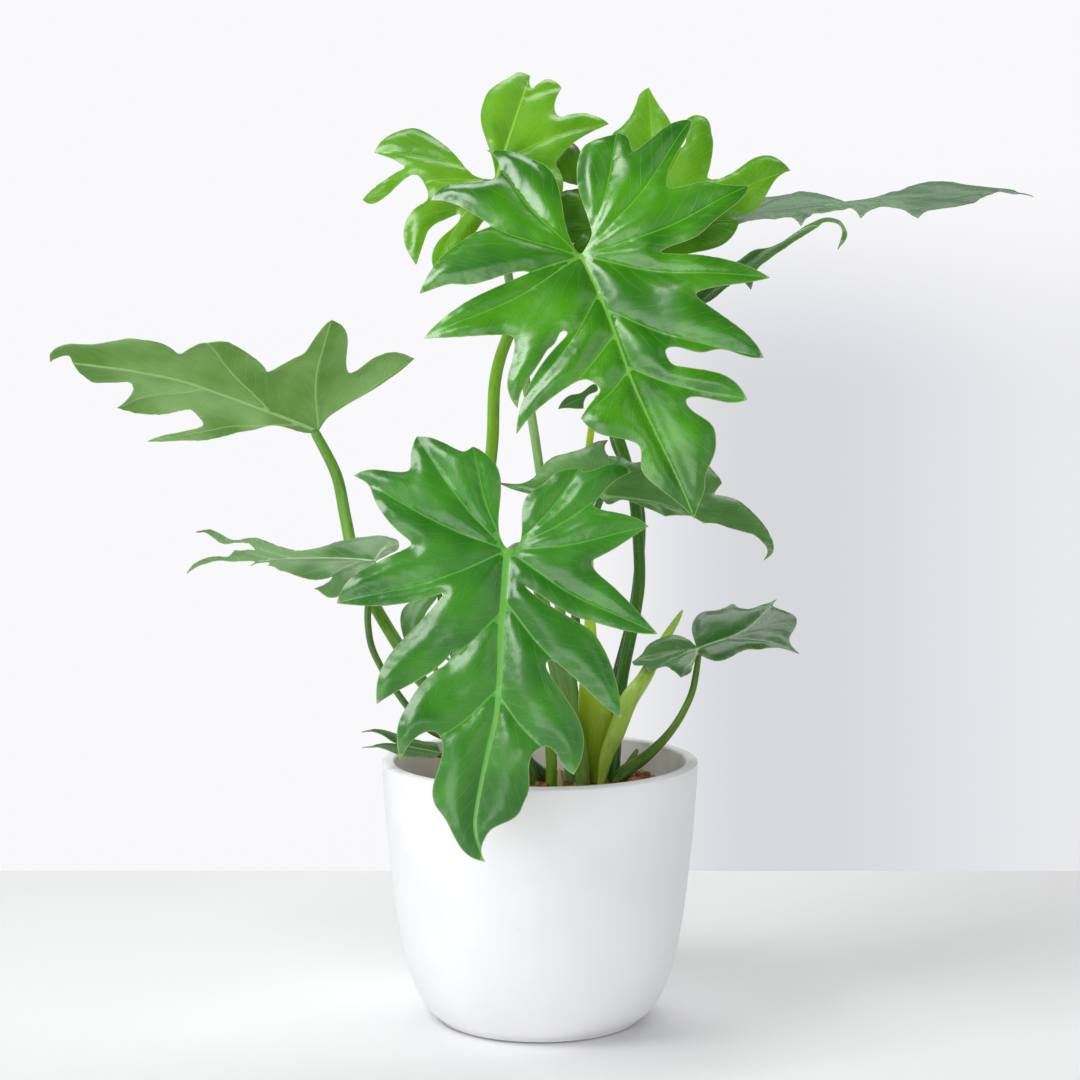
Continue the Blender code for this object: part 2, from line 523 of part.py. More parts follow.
def inside(x, y, ring):
    """True where a point lies inside a closed ring."""
    hit = False
    for (x0, y0), (x1, y1) in zip(ring, ring[1:] + ring[:1]):
        if (y0 > y) != (y1 > y) and x < (x1 - x0) * (y - y0) / (y1 - y0) + x0:
            hit = not hit
    return hit


def clear_of(x, y, ring, space):
    """True where a point is at least space away from every point of a ring."""
    return min((x - px) ** 2 + (y - py) ** 2 for px, py in ring) > space * space


def make_blade(name, leaf, look):
    """A thin closed blade: the outline filled, then given its thickness."""
    size = max(abs(row[2]) for row in leaf["edge"])
    longest = next(step for least, step in EDGE_STEPS if size > least)
    ring = outline(leaf, longest)
    fill = list(ring)
    step = longest * FILL_STEP
    reach = int(FILL_REACH / step)
    for i in range(-reach, reach + 1):
        for j in range(-reach, reach + 1):
            x, y = i * step, j * step * FILL_ROWS
            if inside(x, y, ring) and clear_of(x, y, ring, step * FILL_CLEAR):
                fill.append((x, y))
    rim = [(i, (i + 1) % len(ring)) for i in range(len(ring))]
    flat, _edges, tris, _a, _b, _c = geometry.delaunay_2d_cdt(
        [Vector(p) for p in fill], rim, [], 1, 1e-4)
    blade = Blade(leaf)
    tris = [t for t in tris
            if inside(sum(flat[i].x for i in t) / 3, sum(flat[i].y for i in t) / 3, ring)]
    points = []
    for face in (0.5, -0.5):
        for p in flat:
            points.append(tuple((blade.point(p.x, p.y) + blade.normal(p.x, p.y) * BLADE * face) * MM))
    count = len(flat)
    faces = [tuple(t) for t in tris] + [tuple(i + count for i in reversed(t)) for t in tris]
    used = {}
    for t in tris:
        for a, b in zip(t, tuple(t[1:]) + (t[0],)):
            used[(a, b)] = True
    for a, b in used:
        if (b, a) not in used:
            faces.append((b, a, a + count, b + count))
    return add_object(name, points, faces, look)


for old in list(bpy.data.objects):
    bpy.data.objects.remove(old, do_unlink=True)

turned("pot", POT_OUTER + POT_INNER, POT_STEPS, material("pot", "pot"))
make_soil()
for letter, stations in PETIOLES.items():
    rows = [row + (row[3],) for row in stations] + [joint(LEAVES[letter], stations[-1][3] - 0.2)]
    make_stalk("petiole_" + letter, rows, material("petiole_" + letter, "petiole", TINTS[letter]))
for name, rows in STALKS.items():
    kind = "dry" if name == "dead_stalk" else "sheath"
    make_stalk(name, rows, material(name, kind))
for letter, leaf in LEAVES.items():
    make_blade("blade_" + letter, leaf, material("blade_" + letter, "blade", TINTS[letter]))
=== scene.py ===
"""Potted philodendron: detailed leaves, stalks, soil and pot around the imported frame.

The tables are in millimetres, in the frame's own axes: X is the plant's width, -Y its
front and +Z up, with the origin at the centre of the pot's foot.
"""
import math
import random

import bmesh
import bpy
import numpy as np
from mathutils import Matrix, Vector, geometry, noise


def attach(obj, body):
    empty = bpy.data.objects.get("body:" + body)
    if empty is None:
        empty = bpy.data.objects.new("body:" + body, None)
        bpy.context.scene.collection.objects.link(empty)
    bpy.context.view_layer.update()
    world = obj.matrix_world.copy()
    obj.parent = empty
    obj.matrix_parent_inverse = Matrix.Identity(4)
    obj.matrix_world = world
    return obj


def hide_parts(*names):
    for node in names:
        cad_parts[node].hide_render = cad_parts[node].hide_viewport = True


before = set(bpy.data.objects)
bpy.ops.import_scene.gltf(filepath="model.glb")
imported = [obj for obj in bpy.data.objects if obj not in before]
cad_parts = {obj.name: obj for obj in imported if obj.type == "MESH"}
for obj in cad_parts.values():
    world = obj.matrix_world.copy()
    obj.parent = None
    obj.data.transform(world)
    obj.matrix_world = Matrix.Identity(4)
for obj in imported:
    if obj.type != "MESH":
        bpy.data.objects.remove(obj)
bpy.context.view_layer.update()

MM = 0.001
TINY = 1e-9           # keeps a division clear of zero

# ---- camera
camera_data = bpy.data.cameras.new("camera")
camera_data.lens = 85
camera_data.sensor_width = 36
camera = bpy.data.objects.new("camera", camera_data)
camera.location = (0, -1.6, 0.46)
camera.rotation_euler = (math.radians(84.5), 0, 0)
bpy.context.scene.collection.objects.link(camera)
bpy.context.scene.camera = camera

# ---- shapes
POT_OUTER = ((0, 0), (57, 0), (66, 3), (73.5, 9.5), (80, 21), (86.5, 42), (91.5, 68),
             (95.5, 102), (98.5, 136), (100, 162.5), (99.2, 165.7), (97.3, 166.5))
POT_INNER = ((94, 166.5), (92.6, 165.1), (92.4, 161.5), (90.8, 134), (87.5, 102), (83.5, 68),
             (78, 44), (71.5, 26), (61, 14.5), (48, 9.5), (0, 9))
RIM_TOP = 166.8       # the curve over the rim stays under this height
POT_STEPS = 160       # points round the pot
SOIL_WALL = 137       # height of the soil at the pot's wall
SOIL_CROWN = 151      # height of the flat top under the petioles
CROWN_AT = (24, 6)
CROWN_REACH = (46, 30)
SOIL_LAP = 0.4        # how far the soil reaches into the pot's wall
SOIL_RINGS = 44
SOIL_STEPS = 150      # points in each ring
SOIL_SKIRT = (120, 102)   # heights of the rings that carry the mound down out of sight
CHUNKS = 620          # of coir, lying loose
FIBRES = 330
STALK_SIDES = 22
STALK_GROOVE = 0.1    # depth as a share of the stalk's radius
TIP_ROUND = ((0.87, 0.5), (0.5, 0.87))   # (size, shift) of the rings that round a stalk's end

BLADE_HALF = 0.28     # half the blade's thickness
RIM_ROUND = 0.22      # how far its rim bulges between the two skins
VEIN_SPACING = 6.5    # between two side veins
SMALL_LEAF = 40       # up to this length all veins start at the stalk
ROUNDING = 4          # times that an outline is smoothed
ROW_STEP = 0.866      # between rows of a triangular grid, as a share of its spacing
JITTER = 0.18         # of the grid's points, as a share of its spacing
BATCH = 2000          # points measured at a time

# Leaves.  at: where blade and petiole meet; along: towards the tip; up: the glossy side.
# droop: bend of the tip and base parts, 1/m; twist: rad/m; left, right: (fold, curl) of
# each half, rad and 1/m.
LEAVES = {
    "a": dict(at=(25, -45, 483), along=(0.39, -0.45, -0.8), up=(-0.04, -0.88, 0.48),
              droop=(1.6, 1.5), left=(0.16, 2.2), right=(0.16, 2.2)),
    "b": dict(at=(-19, -105, 310), along=(-0.07, -0.47, -0.88), up=(0.03, -0.88, 0.47),
              droop=(1.2, 1.2), left=(0.1, 2), right=(0.1, 2)),
    "c": dict(at=(-143, 45, 372), along=(-0.92, -0.1, 0.37), up=(0.22, 0.66, 0.72),
              droop=(2.2, -6), left=(0.1, 1), right=(0.1, 1), twist=1.8),
    "d": dict(at=(-103, -20, 295), along=(-0.99, -0.1, 0.03), up=(0.05, -0.2, 0.98),
              droop=(2, 2), left=(-0.05, 3), right=(0.15, 1)),
    "e": dict(at=(-28, 20, 532), along=(0.28, 0.58, 0.77), up=(-0.02, -0.79, 0.61),
              droop=(1.5, 2), left=(0.1, 2.5), right=(0.1, 2.5)),
    "f": dict(at=(63, 30, 510), along=(0.15, -0.53, -0.84), up=(-0.08, -0.85, 0.52),
              droop=(1.5, 1.5), left=(0.1, 2), right=(0.1, 2)),
    "g": dict(at=(100, 88, 507), along=(0.99, 0, 0.11), up=(-0.11, -0.25, 0.96),
              droop=(0.6, 0.6), left=(0, 0.3), right=(0, 0.3)),
    "h": dict(at=(38, 2, 334), along=(0.99, 0.06, -0.14), up=(0.14, -0.66, 0.74),
              droop=(2.5, 1), left=(0.1, 2), right=(0.1, 2)),
    "i": dict(at=(101, 20, 234), along=(0.92, 0.23, 0.31), up=(-0.19, -0.44, 0.88),
              droop=(4, 1), left=(0.1, 2), right=(0.1, 2)),
    "j": dict(at=(-62, -30, 175), along=(-0.98, 0, 0.21), up=(0.19, -0.43, 0.88),
              droop=(1, 1), left=(0.2, 3), right=(0.1, 3)),
    "k": dict(at=(-62, -30, 276), along=(-0.5, -0.35, -0.79), up=(-0.21, -0.84, 0.51),
              droop=(1, 1), left=(0.1, 1.5), right=(0.1, 0.5)),
    "l": dict(at=(38, 30, 399), along=(-0.94, -0.12, -0.33), up=(-0.01, -0.94, 0.35),
              droop=(4, 1), left=(0.2, 8), right=(0.2, 8)),
    "m": dict(at=(103, 30, 456), along=(0.83, 0, 0.56), up=(-0.45, -0.61, 0.66),
              droop=(1, 1), left=(0, 1.5), right=(0, 0.5)),
}
# The edge runs round the blade from the sinus: (kind, across, along, bulge, bulge), with one bulge
# where both are the same and none where the run is straight; T tips, N notches, B plain bends.
T, N, B = "T", "N", "B"
EDGES = {
    "a": (
        (B, -12, -9), (B, -26, -62, 0, 0.15), (T, -54, -68, 0.35, 0.05), (N, -57, -50, 0.55, -0.05),
        (T, -101, -60, 0, 0.15), (N, -65, -18, 0.1, -0.15), (B, -90, -13), (T, -113, -1, -0.1),
        (B, -74, 17, 0.15, 0), (N, -42, 19, 0.15, -0.1), (T, -98, 60, 0.05, 0.1), (N, -50, 53, 0.05, -0.05),
        (T, -73, 105, 0, 0.15), (B, -47, 89, 0.15, -0.15), (N, -20, 77, 0.25, -0.2), (B, -20, 88),
        (T, -53, 125, 0.05, 0.3), (N, -19, 110, 0.2, -0.15), (B, -26, 140, -0.2, 0.35),
        (B, -9, 165, 0.15, -0.2), (T, 4, 178, -0.05), (B, 22, 143, -0.05, 0.05), (N, 22, 121, 0.15, -0.55),
        (T, 43, 98, 0.1, 0.3), (N, 24, 87, 0.05), (B, 36, 76, -0.1, -0.4), (T, 82, 92, -0.05, -0.1),
        (N, 27, 46, 0.15, 0.1), (B, 44, 50, -0.65, 0.35), (T, 75, 77, 0.05, -0.15), (N, 59, 34, 0.3, -0.1),
        (T, 109, 15, 0, 0.05), (N, 32, 0, 0.1, 0.05), (B, 80, -12, -0.1, 0.15), (T, 100, -14),
        (N, 41, -39, 0.15), (T, 69, -73, 0, -0.15), (N, 25, -71, 0.35, -0.1), (T, 23, -94, -0.25),
        (B, -7, -66, 0.15), (N, 0, 0, 0.1, -0.15),
    ),
    "b": (
        (B, -5, -1), (B, -18, -43, -0.1, 0.4), (T, -39, -55, 0.2), (N, -40, -52), (T, -70, -56, -0.05, 0.4),
        (N, -47, -31, -0.1, -0.05), (T, -82, -22, -0.05, 0.15), (N, -48, 4, 0, 0.1), (B, -54, 12),
        (T, -91, 45, 0.05, 0), (B, -44, 40, 0.1, 0), (N, -10, 21, 0.05, 0), (B, -54, 48, -0.1, 0),
        (T, -73, 97, 0.1), (N, -29, 65, 0.05, -0.05), (N, -29, 74, -0.35), (T, -48, 132, 0.1, 0.35),
        (B, -31, 116, 0.2, -0.2), (N, -26, 119), (B, -20, 150, -0.25, 0.2), (B, 0, 172, 0.35, -0.2),
        (T, -1, 185, -0.25), (B, 29, 157, 0.3, -0.05), (N, 32, 113, 0.2, -0.25), (T, 52, 132, -0.3, -0.15),
        (B, 51, 102, 0.1, 0.2), (B, 29, 73, 0.1, 0.15), (N, 26, 62), (T, 68, 100, 0.15, 0),
        (N, 34, 30, 0.25, 0), (T, 97, 41, 0.1), (N, 55, 1, 0.25, 0), (B, 85, -36, 0.15), (T, 95, -41),
        (N, 61, -46, 0.2, -0.1), (T, 60, -69, 0.1), (N, 30, -58, 0.15, 0), (T, 26, -64),
        (N, 0, 0, 0.4, -0.15),
    ),
    "c": (
        (T, -88, -39, -0.15, 0.05), (N, -60, -3, 0.5, 0.1), (T, -111, 21, -0.05, 0.25),
        (N, -70, 28, 0.05, 0), (N, -40, 45, 0.1, -0.05), (B, -65, 76, 0.25, 0), (T, -61, 87),
        (N, -41, 101, 0.1), (B, -58, 136, 0.15), (T, -17, 178, -0.05, 0.6), (B, -25, 167),
        (B, 17, 146, 0.05), (N, 4, 124, 0.1), (T, 51, 124, -0.15), (B, 52, 103, 0.35), (N, 28, 81, 0.1),
        (N, 45, 68, -0.05), (T, 95, 97, -0.05, 0.05), (B, 22, 34, 0.1, 0.05), (N, 0, 0, -0.3, 0.25),
    ),
    "d": (
        (T, 30, -16, -0.2), (T, 36, -15), (B, 33, 10, -0.1), (B, 25, 18), (N, 17, 46, -0.2, 0.15),
        (B, 42, 81, 0.15, -0.05), (B, 68, 102, 0.1), (T, 69, 112), (B, 45, 94, 0.15, -0.1),
        (B, 30, 76, 0.1), (N, 19, 73), (T, 30, 87), (B, 19, 90), (T, 7, 117, -0.35), (N, 8, 73, 0.3, 0.05),
        (T, 2, 77), (N, 3, 64, 0.35), (T, -1, 66), (N, -24, 26, -0.1, -0.45), (T, -38, 38, 0.25),
        (N, -42, 16, -0.3, -1.1), (T, -45, 3, -1), (N, 0, 0),
    ),
    "e": (
        (B, -26, 60, -0.05, 0.15), (B, -13, 95, 0.2, 0), (T, -5, 94), (N, 0, 82, -0.15),
        (T, 18, 88, 0.45, 0.8), (N, 25, 60, -0.05, -0.3), (T, 56, 65, 0.2, 0.3), (N, 32, 22, -0.05),
        (T, 44, -3, 0.15), (N, 25, -8, 0.2), (T, 29, -42, 0.15), (N, 6, -4, 0.2, 0.05), (T, -17, -76, 0.1),
        (N, -12, -33, 0.3, 0), (B, -14, -30), (B, -29, -49, -0.05), (T, -29, -75), (N, -34, -28, 0.3, 0.4),
        (T, -76, -37, -1.2, 0.45), (N, -56, -7, 0.1), (T, -81, 2, -0.05), (B, -63, 27, 0.2),
        (B, -17, 0, 0.15, 0.05), (N, 0, 0, -0.15),
    ),
    "f": (
        (B, 7, -67, 0, 0.05), (B, -16, -97, -0.15), (T, -23, -100), (N, -31, -44, 0, 0.15),
        (T, -49, -68, -0.45, 0.45), (B, -56, -46, 0.45, 0), (N, -46, -17, 0.05), (T, -100, -14, -0.2, 0.6),
        (N, -54, 14, -0.15, 0.4), (T, -61, 18), (N, -14, 36, 0.4, 0.05), (T, -22, 60), (N, -2, 49, 0.25),
        (T, 6, 91, 0.15), (N, 13, 52, 0.15), (T, 34, 77), (N, 30, 36, 0.2), (T, 61, 30), (N, 37, 11, 0.1),
        (T, 59, 3, 0.4), (N, 28, -25, 0.25, 0.6), (T, 55, -41), (N, 16, -27, 1.8, -0.55), (T, 20, -53),
        (N, 0, 0, 0.25, -0.15),
    ),
    "g": (
        (T, -59, 14, 0.05), (N, -27, 41, -0.05), (T, -63, 76, 0.2, 0.05), (N, -22, 104, 0.3, 0.05),
        (N, -31, 122, -0.05), (T, -73, 161, 0.05, 0), (B, -59, 222, 0.3, -0.2), (T, -33, 232),
        (B, -48, 213, -0.05), (B, -11, 187), (T, 25, 145, 0.1, -0.2), (N, -5, 125, 0, -0.3),
        (T, 21, 108, -0.05), (N, -3, 105, -0.05), (N, 5, 79, 0.1), (T, 38, 67), (N, 11, 62, -0.05),
        (N, 23, 18, 0.1, -0.15), (T, 41, 5, -0.15), (N, 0, 0, 0.05),
    ),
    "h": (
        (T, -1, -65, 0.2), (B, -1, -52), (B, -30, -25, -0.25, 0.25), (T, -48, 3, -0.1, 0.1),
        (N, -33, 3, -0.2), (T, -34, 13), (N, -29, 18), (T, -31, 79, 0.1, 0.7), (N, -18, 73, -0.05),
        (B, -8, 109, 0.3, 0.1), (T, 25, 108, 0.3), (B, 3, 102, -0.35), (B, 7, 68, 0.15, -0.15), (N, 3, 59),
        (T, 9, 42), (N, 0, 14, 0.05, -0.05), (N, 0, 0, 0.15, 1.25),
    ),
    "i": (
        (N, -20, -27, -0.4), (T, -12, -41, 0.2), (N, -4, -36, -0.45), (T, 7, -36), (N, 7, -25, 0.25),
        (T, 25, -22), (T, 20, -12, -0.45), (N, 5, -2), (B, 21, 2, -0.1), (B, 24, 32, -0.2, 0.25),
        (T, 37, 54, 0.1), (B, -3, 71, 0.3, 0), (T, -32, 70, -0.25, 0.6), (B, -23, 48), (B, -36, 41, 0.3),
        (B, -34, 20, 0.2), (N, -2, 0, -0.3, -0.1),
    ),
    "j": (
        (B, 10, 4), (T, 6, 51, 0.15, -0.25), (N, 0, 26, 0.3, 0), (T, -12, 48, -0.2, -0.05),
        (B, -15, 24, 0.35, 0.05), (N, 0, 0, 0.05, -0.45),
    ),
    "k": (
        (T, -9, 51, -0.75, -0.1), (T, -32, 37, 0.3), (N, -3, 25, -0.05), (N, 0, 0, 0.25, 0),
    ),
    "l": (
        (N, 2, 1), (B, 5, 0), (B, 4, 17, -0.15, 0.35), (T, -2, 29, -0.15), (T, -8, 14, 0.15, -0.1),
        (N, -1, 0, 0.4, 0.35),
    ),
    "m": (
        (B, -14, 5, 0.4), (B, -13, 48), (B, -7, 87, -0.3, 0.05), (B, 5, 101, 0.2), (T, 27, 88, 0.15, 0.4),
        (B, -2, 92, -0.25, -0.5), (N, 4, 40, 0.05, -0.05), (T, 16, 29), (N, 2, -1, -0.85, 0.3),
    ),
}
# Petioles: (x, y, z, radius) from the crown up; each ends just under its own blade.
PETIOLES = {
    "a": (
        (7, -13, 0, 3.4), (7, -12, 172, 3.6), (4, 2, 203, 4), (-20, 18, 255, 4), (-31, 20, 300, 3.9),
        (-33, 20, 335, 3.9), (-30, 14, 369, 3.9), (-28, 4, 407, 3.8), (-19, -8, 436, 3.7),
        (-4, -19, 459, 3.5),
    ),
    "b": (
        (27, -9, 0, 4.6), (24, -10, 175, 6), (16, -13, 206, 6), (7, -22, 245, 5), (-1, -42, 282, 3.9),
        (-10, -66, 307, 3.2),
    ),
    "c": (
        (6, 4, 0, 4), (-6, 6, 161, 4.3), (-26, 10, 177, 4.2), (-57, 6, 199, 4.1), (-76, 2, 217, 4.1),
        (-92, 8, 241, 4), (-107, 20, 264, 4), (-118, 32, 283, 4), (-126, 46, 316, 3.9),
        (-132, 48, 344, 3.7),
    ),
    "d": (
        (-2, 20, 0, 3), (-16, 24, 158, 2.7), (-39, 26, 169, 2.6), (-70, 20, 181, 2.4), (-90, 12, 205, 2.2),
        (-105, 10, 231, 2.2), (-109, 6, 249, 2.2), (-108, -4, 268, 2.2),
    ),
    "e": (
        (20, 2, 0, 5.2), (21, 12, 180, 4.4), (21, 22, 207, 3.6), (12, 32, 264, 3.2), (0, 42, 346, 3),
        (-5, 44, 379, 3), (-20, 38, 471, 2.9), (-25, 32, 500, 2.8),
    ),
    "f": (
        (47, 12, 0, 4.2), (49, 20, 180, 4), (53, 32, 212, 3.9), (62, 46, 254, 3.8), (65, 54, 281, 3.8),
        (62, 62, 325, 3.7), (56, 64, 352, 3.6), (48, 62, 379, 3.5), (47, 60, 401, 3.3), (54, 54, 450, 3.1),
        (59, 47, 482, 2.9),
    ),
    "g": (
        (39, 17, 0, 3.6), (42, 33, 182, 3.5), (50, 47, 212, 3.4), (61.5, 64, 254, 3.3), (66, 76, 290, 3.2),
        (66, 80, 318, 3.2), (59, 82, 343, 3.1), (49, 84, 366, 3.1), (50, 88, 397, 3), (66, 92, 440, 2.9),
        (88, 91, 480, 2.8),
    ),
    "h": (
        (31, 21, 0, 3.4), (31, 23, 175, 3.2), (30, 24, 205, 3.1), (23, 24, 250, 2.9), (25, 20, 289, 2.8),
        (32, 12, 314, 2.6),
    ),
    "i": (
        (47, -4, 0, 3.8), (50, -3, 155, 4.2), (57, 2, 160, 4.3), (65, 6, 164.5, 3.8), (73, 8, 171, 3.2),
        (82, 11, 180, 2.7), (90, 14, 191, 2.4), (97, 17, 205, 2.2), (100, 19, 218, 2.1),
    ),
    "j": (
        (-12, -3, 0, 2.4), (-18, -5, 158, 2.4), (-30, -10, 165, 2.3), (-48, -20, 170, 2.1),
    ),
    "k": (
        (-3, -6, 0, 2.6), (-8, -7, 170, 2.5), (-22, -8, 191, 2.4), (-49, -18, 223, 2.1), (-59, -24, 256, 2),
    ),
    "m": (
        (47, 24, 0, 3), (49, 38, 175, 2.9), (53, 54, 205, 2.8), (63, 80, 254, 2.6), (67, 90, 290, 2.5),
        (67, 94, 318, 2.5), (60, 96, 343, 2.4), (50, 98, 366, 2.4), (66, 88, 410, 2.3), (88, 54, 436, 2.2),
    ),
}
# Stalks with no blade of their own, or with a flattened sheath: (x, y, z, half width, half depth).
STALKS = {
    "sheath_l": (
        (37, 1, 0, 4, 3.6), (38, 1, 163, 7, 4.4), (38, 0, 186, 12, 4.2), (36.5, 0, 204, 12.5, 3.8),
        (34, 3, 224, 8, 3.2), (32, 9, 243, 4.2, 2.8), (32, 27, 289, 2.3, 2.3), (31, 39, 337, 2.3, 2.3),
        (32, 41, 366, 2.3, 2.3), (37, 35, 394, 2, 2),
    ),
    "spear": (
        (38.5, -10, 0, 2.4, 2.4), (42, -11, 170, 4.4, 3.4), (48, -11, 185, 5.6, 4.2),
        (56, -3, 204, 5.8, 4.4), (67.5, 21, 216, 4.7, 3.8), (80.5, 42, 236, 3.2, 2.8), (89, 47, 249, 2, 2),
        (92.5, 48, 255, 0.7, 0.7),
    ),
    "yellow_petiole": (
        (-14, 8, 0, 2.2, 2.2), (-26, -2, 172, 2, 2), (-44, -8, 192, 1.9, 1.9), (-66, -12, 226, 1.8, 1.8),
        (-74, -12, 257, 1.7, 1.7), (-82, -6, 276, 1.6, 1.6), (-88, 2, 293, 1.4, 1.4),
    ),
    "crown_scale": (
        (13, -19, 0, 2, 1.6), (12.6, -19.5, 155, 1.8, 1.4), (12, -20, 163, 0.8, 0.7),
    ),
    "crown_sheath": (
        (55, 8, 0, 3, 1.4), (57.5, 9, 161, 3, 1.4), (62, 10, 170, 1.2, 0.8),
    ),
    "dead_stalk": (
        (-70, -30, 0, 1, 1), (-73, -30, 147, 1, 1), (-76, -29, 157, 3, 2.4), (-80, -28, 161, 1.6, 1.4),
    ),
}


def smoothstep(low, high, x):
    t = np.clip((x - low) / (high - low), 0, 1)
    return t * t * (3 - 2 * t)


def unit(vector):
    return vector / np.linalg.norm(vector)


def between(a, b, c, d, t):
    """A point at t on the smooth curve from b to c, with a before them and d after."""
    return 0.5 * (2 * b + (c - a) * t + (2 * a - 5 * b + 4 * c - d) * t * t
                  + (3 * b - a - 3 * c + d) * t ** 3)


def linear(r, g, b, dim=1.0):
    """sRGB 0-255, dimmed, to linear RGBA."""
    made = []
    for c in (r * dim / 255, g * dim / 255, b * dim / 255):
        made.append(c / 12.92 if c <= 0.04045 else ((c + 0.055) / 1.055) ** 2.4)
    return tuple(made) + (1.0,)


# ---- node helpers
def put(tree, kind, inputs=None, **props):
    """A new shader node; inputs maps socket names or numbers to values or to sockets."""
    made = tree.nodes.new("ShaderNode" + kind)
    for key, value in props.items():
        setattr(made, key, value)
    for key, value in (inputs or {}).items():
        socket = made.inputs[key]
        if isinstance(value, bpy.types.NodeSocket):
            tree.links.new(value, socket)
        else:
            socket.default_value = value
    return made


def maths(tree, operation, a, b):
    return put(tree, "Math", {0: a, 1: b}, operation=operation).outputs[0]


def times(tree, a, b):
    return maths(tree, "MULTIPLY", a, b)


def step(tree, value, low, high, out_low=0.0, out_high=1.0):
    """Smooth step of a value from low to high."""
    return put(tree, "MapRange", {0: value, 1: low, 2: high, 3: out_low, 4: out_high},
               interpolation_type="SMOOTHSTEP").outputs[0]


def mix(tree, share, a, b):
    return put(tree, "Mix", {0: share, 6: a, 7: b}, data_type="RGBA").outputs[2]


def attribute(tree, name, kind="Vector"):
    return put(tree, "Attribute", attribute_name=name).outputs[kind]


def place_on(tree, kind="Object"):
    return put(tree, "TexCoord").outputs[kind]


def parts(tree, vector):
    return put(tree, "SeparateXYZ", {0: vector}).outputs


def drawn_out(tree, vector, along):
    """The vector with its Z scaled, so that a pattern on it runs long."""
    return put(tree, "Mapping", {"Vector": vector, "Scale": (1.0, 1.0, along)}).outputs[0]


def speckle(tree, vector, scale, detail=2.0, roughness=0.5):
    """Noise from 0 to 1."""
    return put(tree, "TexNoise", {"Vector": vector, "Scale": scale, "Detail": detail,
                                  "Roughness": roughness}).outputs[0]


def new_material(name, **settings):
    """A material, its nodes and its shader; settings name the shader's sockets with _ for a space."""
    made = bpy.data.materials.new(name)
    made.use_nodes = True
    shader = made.node_tree.nodes["Principled BSDF"]
    for key, value in settings.items():
        shader.inputs[key.replace("_", " ")].default_value = value
    return made, made.node_tree, shader


def finish_skin(tree, shader, colour, rough=None, height=None, depth=0.0):
    """Joins colour, roughness and relief (depth in metres) to the shader."""
    tree.links.new(colour, shader.inputs["Base Color"])
    if rough is not None:
        tree.links.new(rough, shader.inputs["Roughness"])
    if height is not None:
        normal = put(tree, "Bump", {"Height": height, "Distance": depth, "Strength": 1.0})
        tree.links.new(normal.outputs[0], shader.inputs["Normal"])


# ---- materials
def leaf_material(name, dark, light, vein, roughness, coat, rib, rim):
    """Leaf skin: mottled green with pale main veins, fine side veins, a thin pale margin."""
    made, tree, shader = new_material(name, Coat_Weight=coat, Coat_Roughness=0.27, Coat_IOR=1.65,
                                      Specular_IOR_Level=0.12)
    flat = attribute(tree, "flat")
    vein_gap, rim_gap, stripe = parts(tree, attribute(tree, "lines"))
    fade, brown, is_rib = parts(tree, attribute(tree, "extra"))
    fine = speckle(tree, flat, 0.9, 3.0, 0.6)
    body = mix(tree, step(tree, speckle(tree, flat, 0.022), 0.3, 0.7), linear(*dark), linear(*light))
    body = mix(tree, step(tree, fine, 0.35, 0.75, 0.0, 0.16), body, linear(*dark, 0.72))

    # Side veins, and finer threads between them.
    swing = maths(tree, "ADD", stripe, times(tree, speckle(tree, flat, 0.06, 1.0), 3.0))
    line = maths(tree, "PINGPONG", swing, VEIN_SPACING / 2)
    small = times(tree, step(tree, line, 0.1, 0.5, 1.0, 0.0), fade)
    body = mix(tree, times(tree, small, 0.16), body, linear(*vein))
    line = maths(tree, "PINGPONG", swing, VEIN_SPACING / 10)
    thread = times(tree, step(tree, line, 0.05, 0.3, 1.0, 0.0), fade)
    body = mix(tree, times(tree, thread, 0.08), body, linear(*dark, 0.6))

    main = times(tree, step(tree, vein_gap, *rib, 1.0, 0.0), step(tree, is_rib, 0.0, 1.0, 0.6, 0.92))
    body = mix(tree, main, body, linear(*vein))
    body = mix(tree, step(tree, rim_gap, 0.05, 0.45, rim, 0.0), body, linear(172, 190, 120))
    body = mix(tree, brown, body, mix(tree, fine, linear(92, 52, 22), linear(150, 98, 48)))
    rough = step(tree, fine, 0.25, 0.75, roughness - 0.03, roughness + 0.05)
    height = maths(tree, "SUBTRACT", times(tree, speckle(tree, flat, 1.1, 3.0, 0.6), 0.4),
                   times(tree, small, 0.9))
    height = maths(tree, "SUBTRACT", height, times(tree, thread, 0.35))
    finish_skin(tree, shader, body, rough, height, 0.00014)
    return made


def stalk_material(name, low, high, streak):
    """Petiole skin: a gradient from foot to top, long streaks and small pale dashes."""
    made, tree, shader = new_material(name, Coat_Weight=0.2, Coat_Roughness=0.22, Specular_IOR_Level=0.2)
    grain = attribute(tree, "grain")
    climb = step(tree, attribute(tree, "along", "Fac"), 0.0, 0.55)
    body = mix(tree, climb, linear(*low), linear(*high))
    stripes = speckle(tree, drawn_out(tree, grain, 0.05), 0.9, 3.0, 0.6)
    body = mix(tree, step(tree, stripes, 0.42, 0.72, 0.0, 0.6), body, linear(*streak))
    patches = speckle(tree, drawn_out(tree, grain, 0.3), 0.25)
    body = mix(tree, step(tree, patches, 0.45, 0.75, 0.0, 0.3), body, linear(*low, 0.7))
    dashes = speckle(tree, drawn_out(tree, grain, 0.35), 1.9, 1.0)
    body = mix(tree, step(tree, dashes, 0.68, 0.76, 0.0, 0.35), body, linear(205, 220, 160))
    finish_skin(tree, shader, body, step(tree, stripes, 0.2, 0.8, 0.32, 0.48), stripes, 0.00025)
    return made


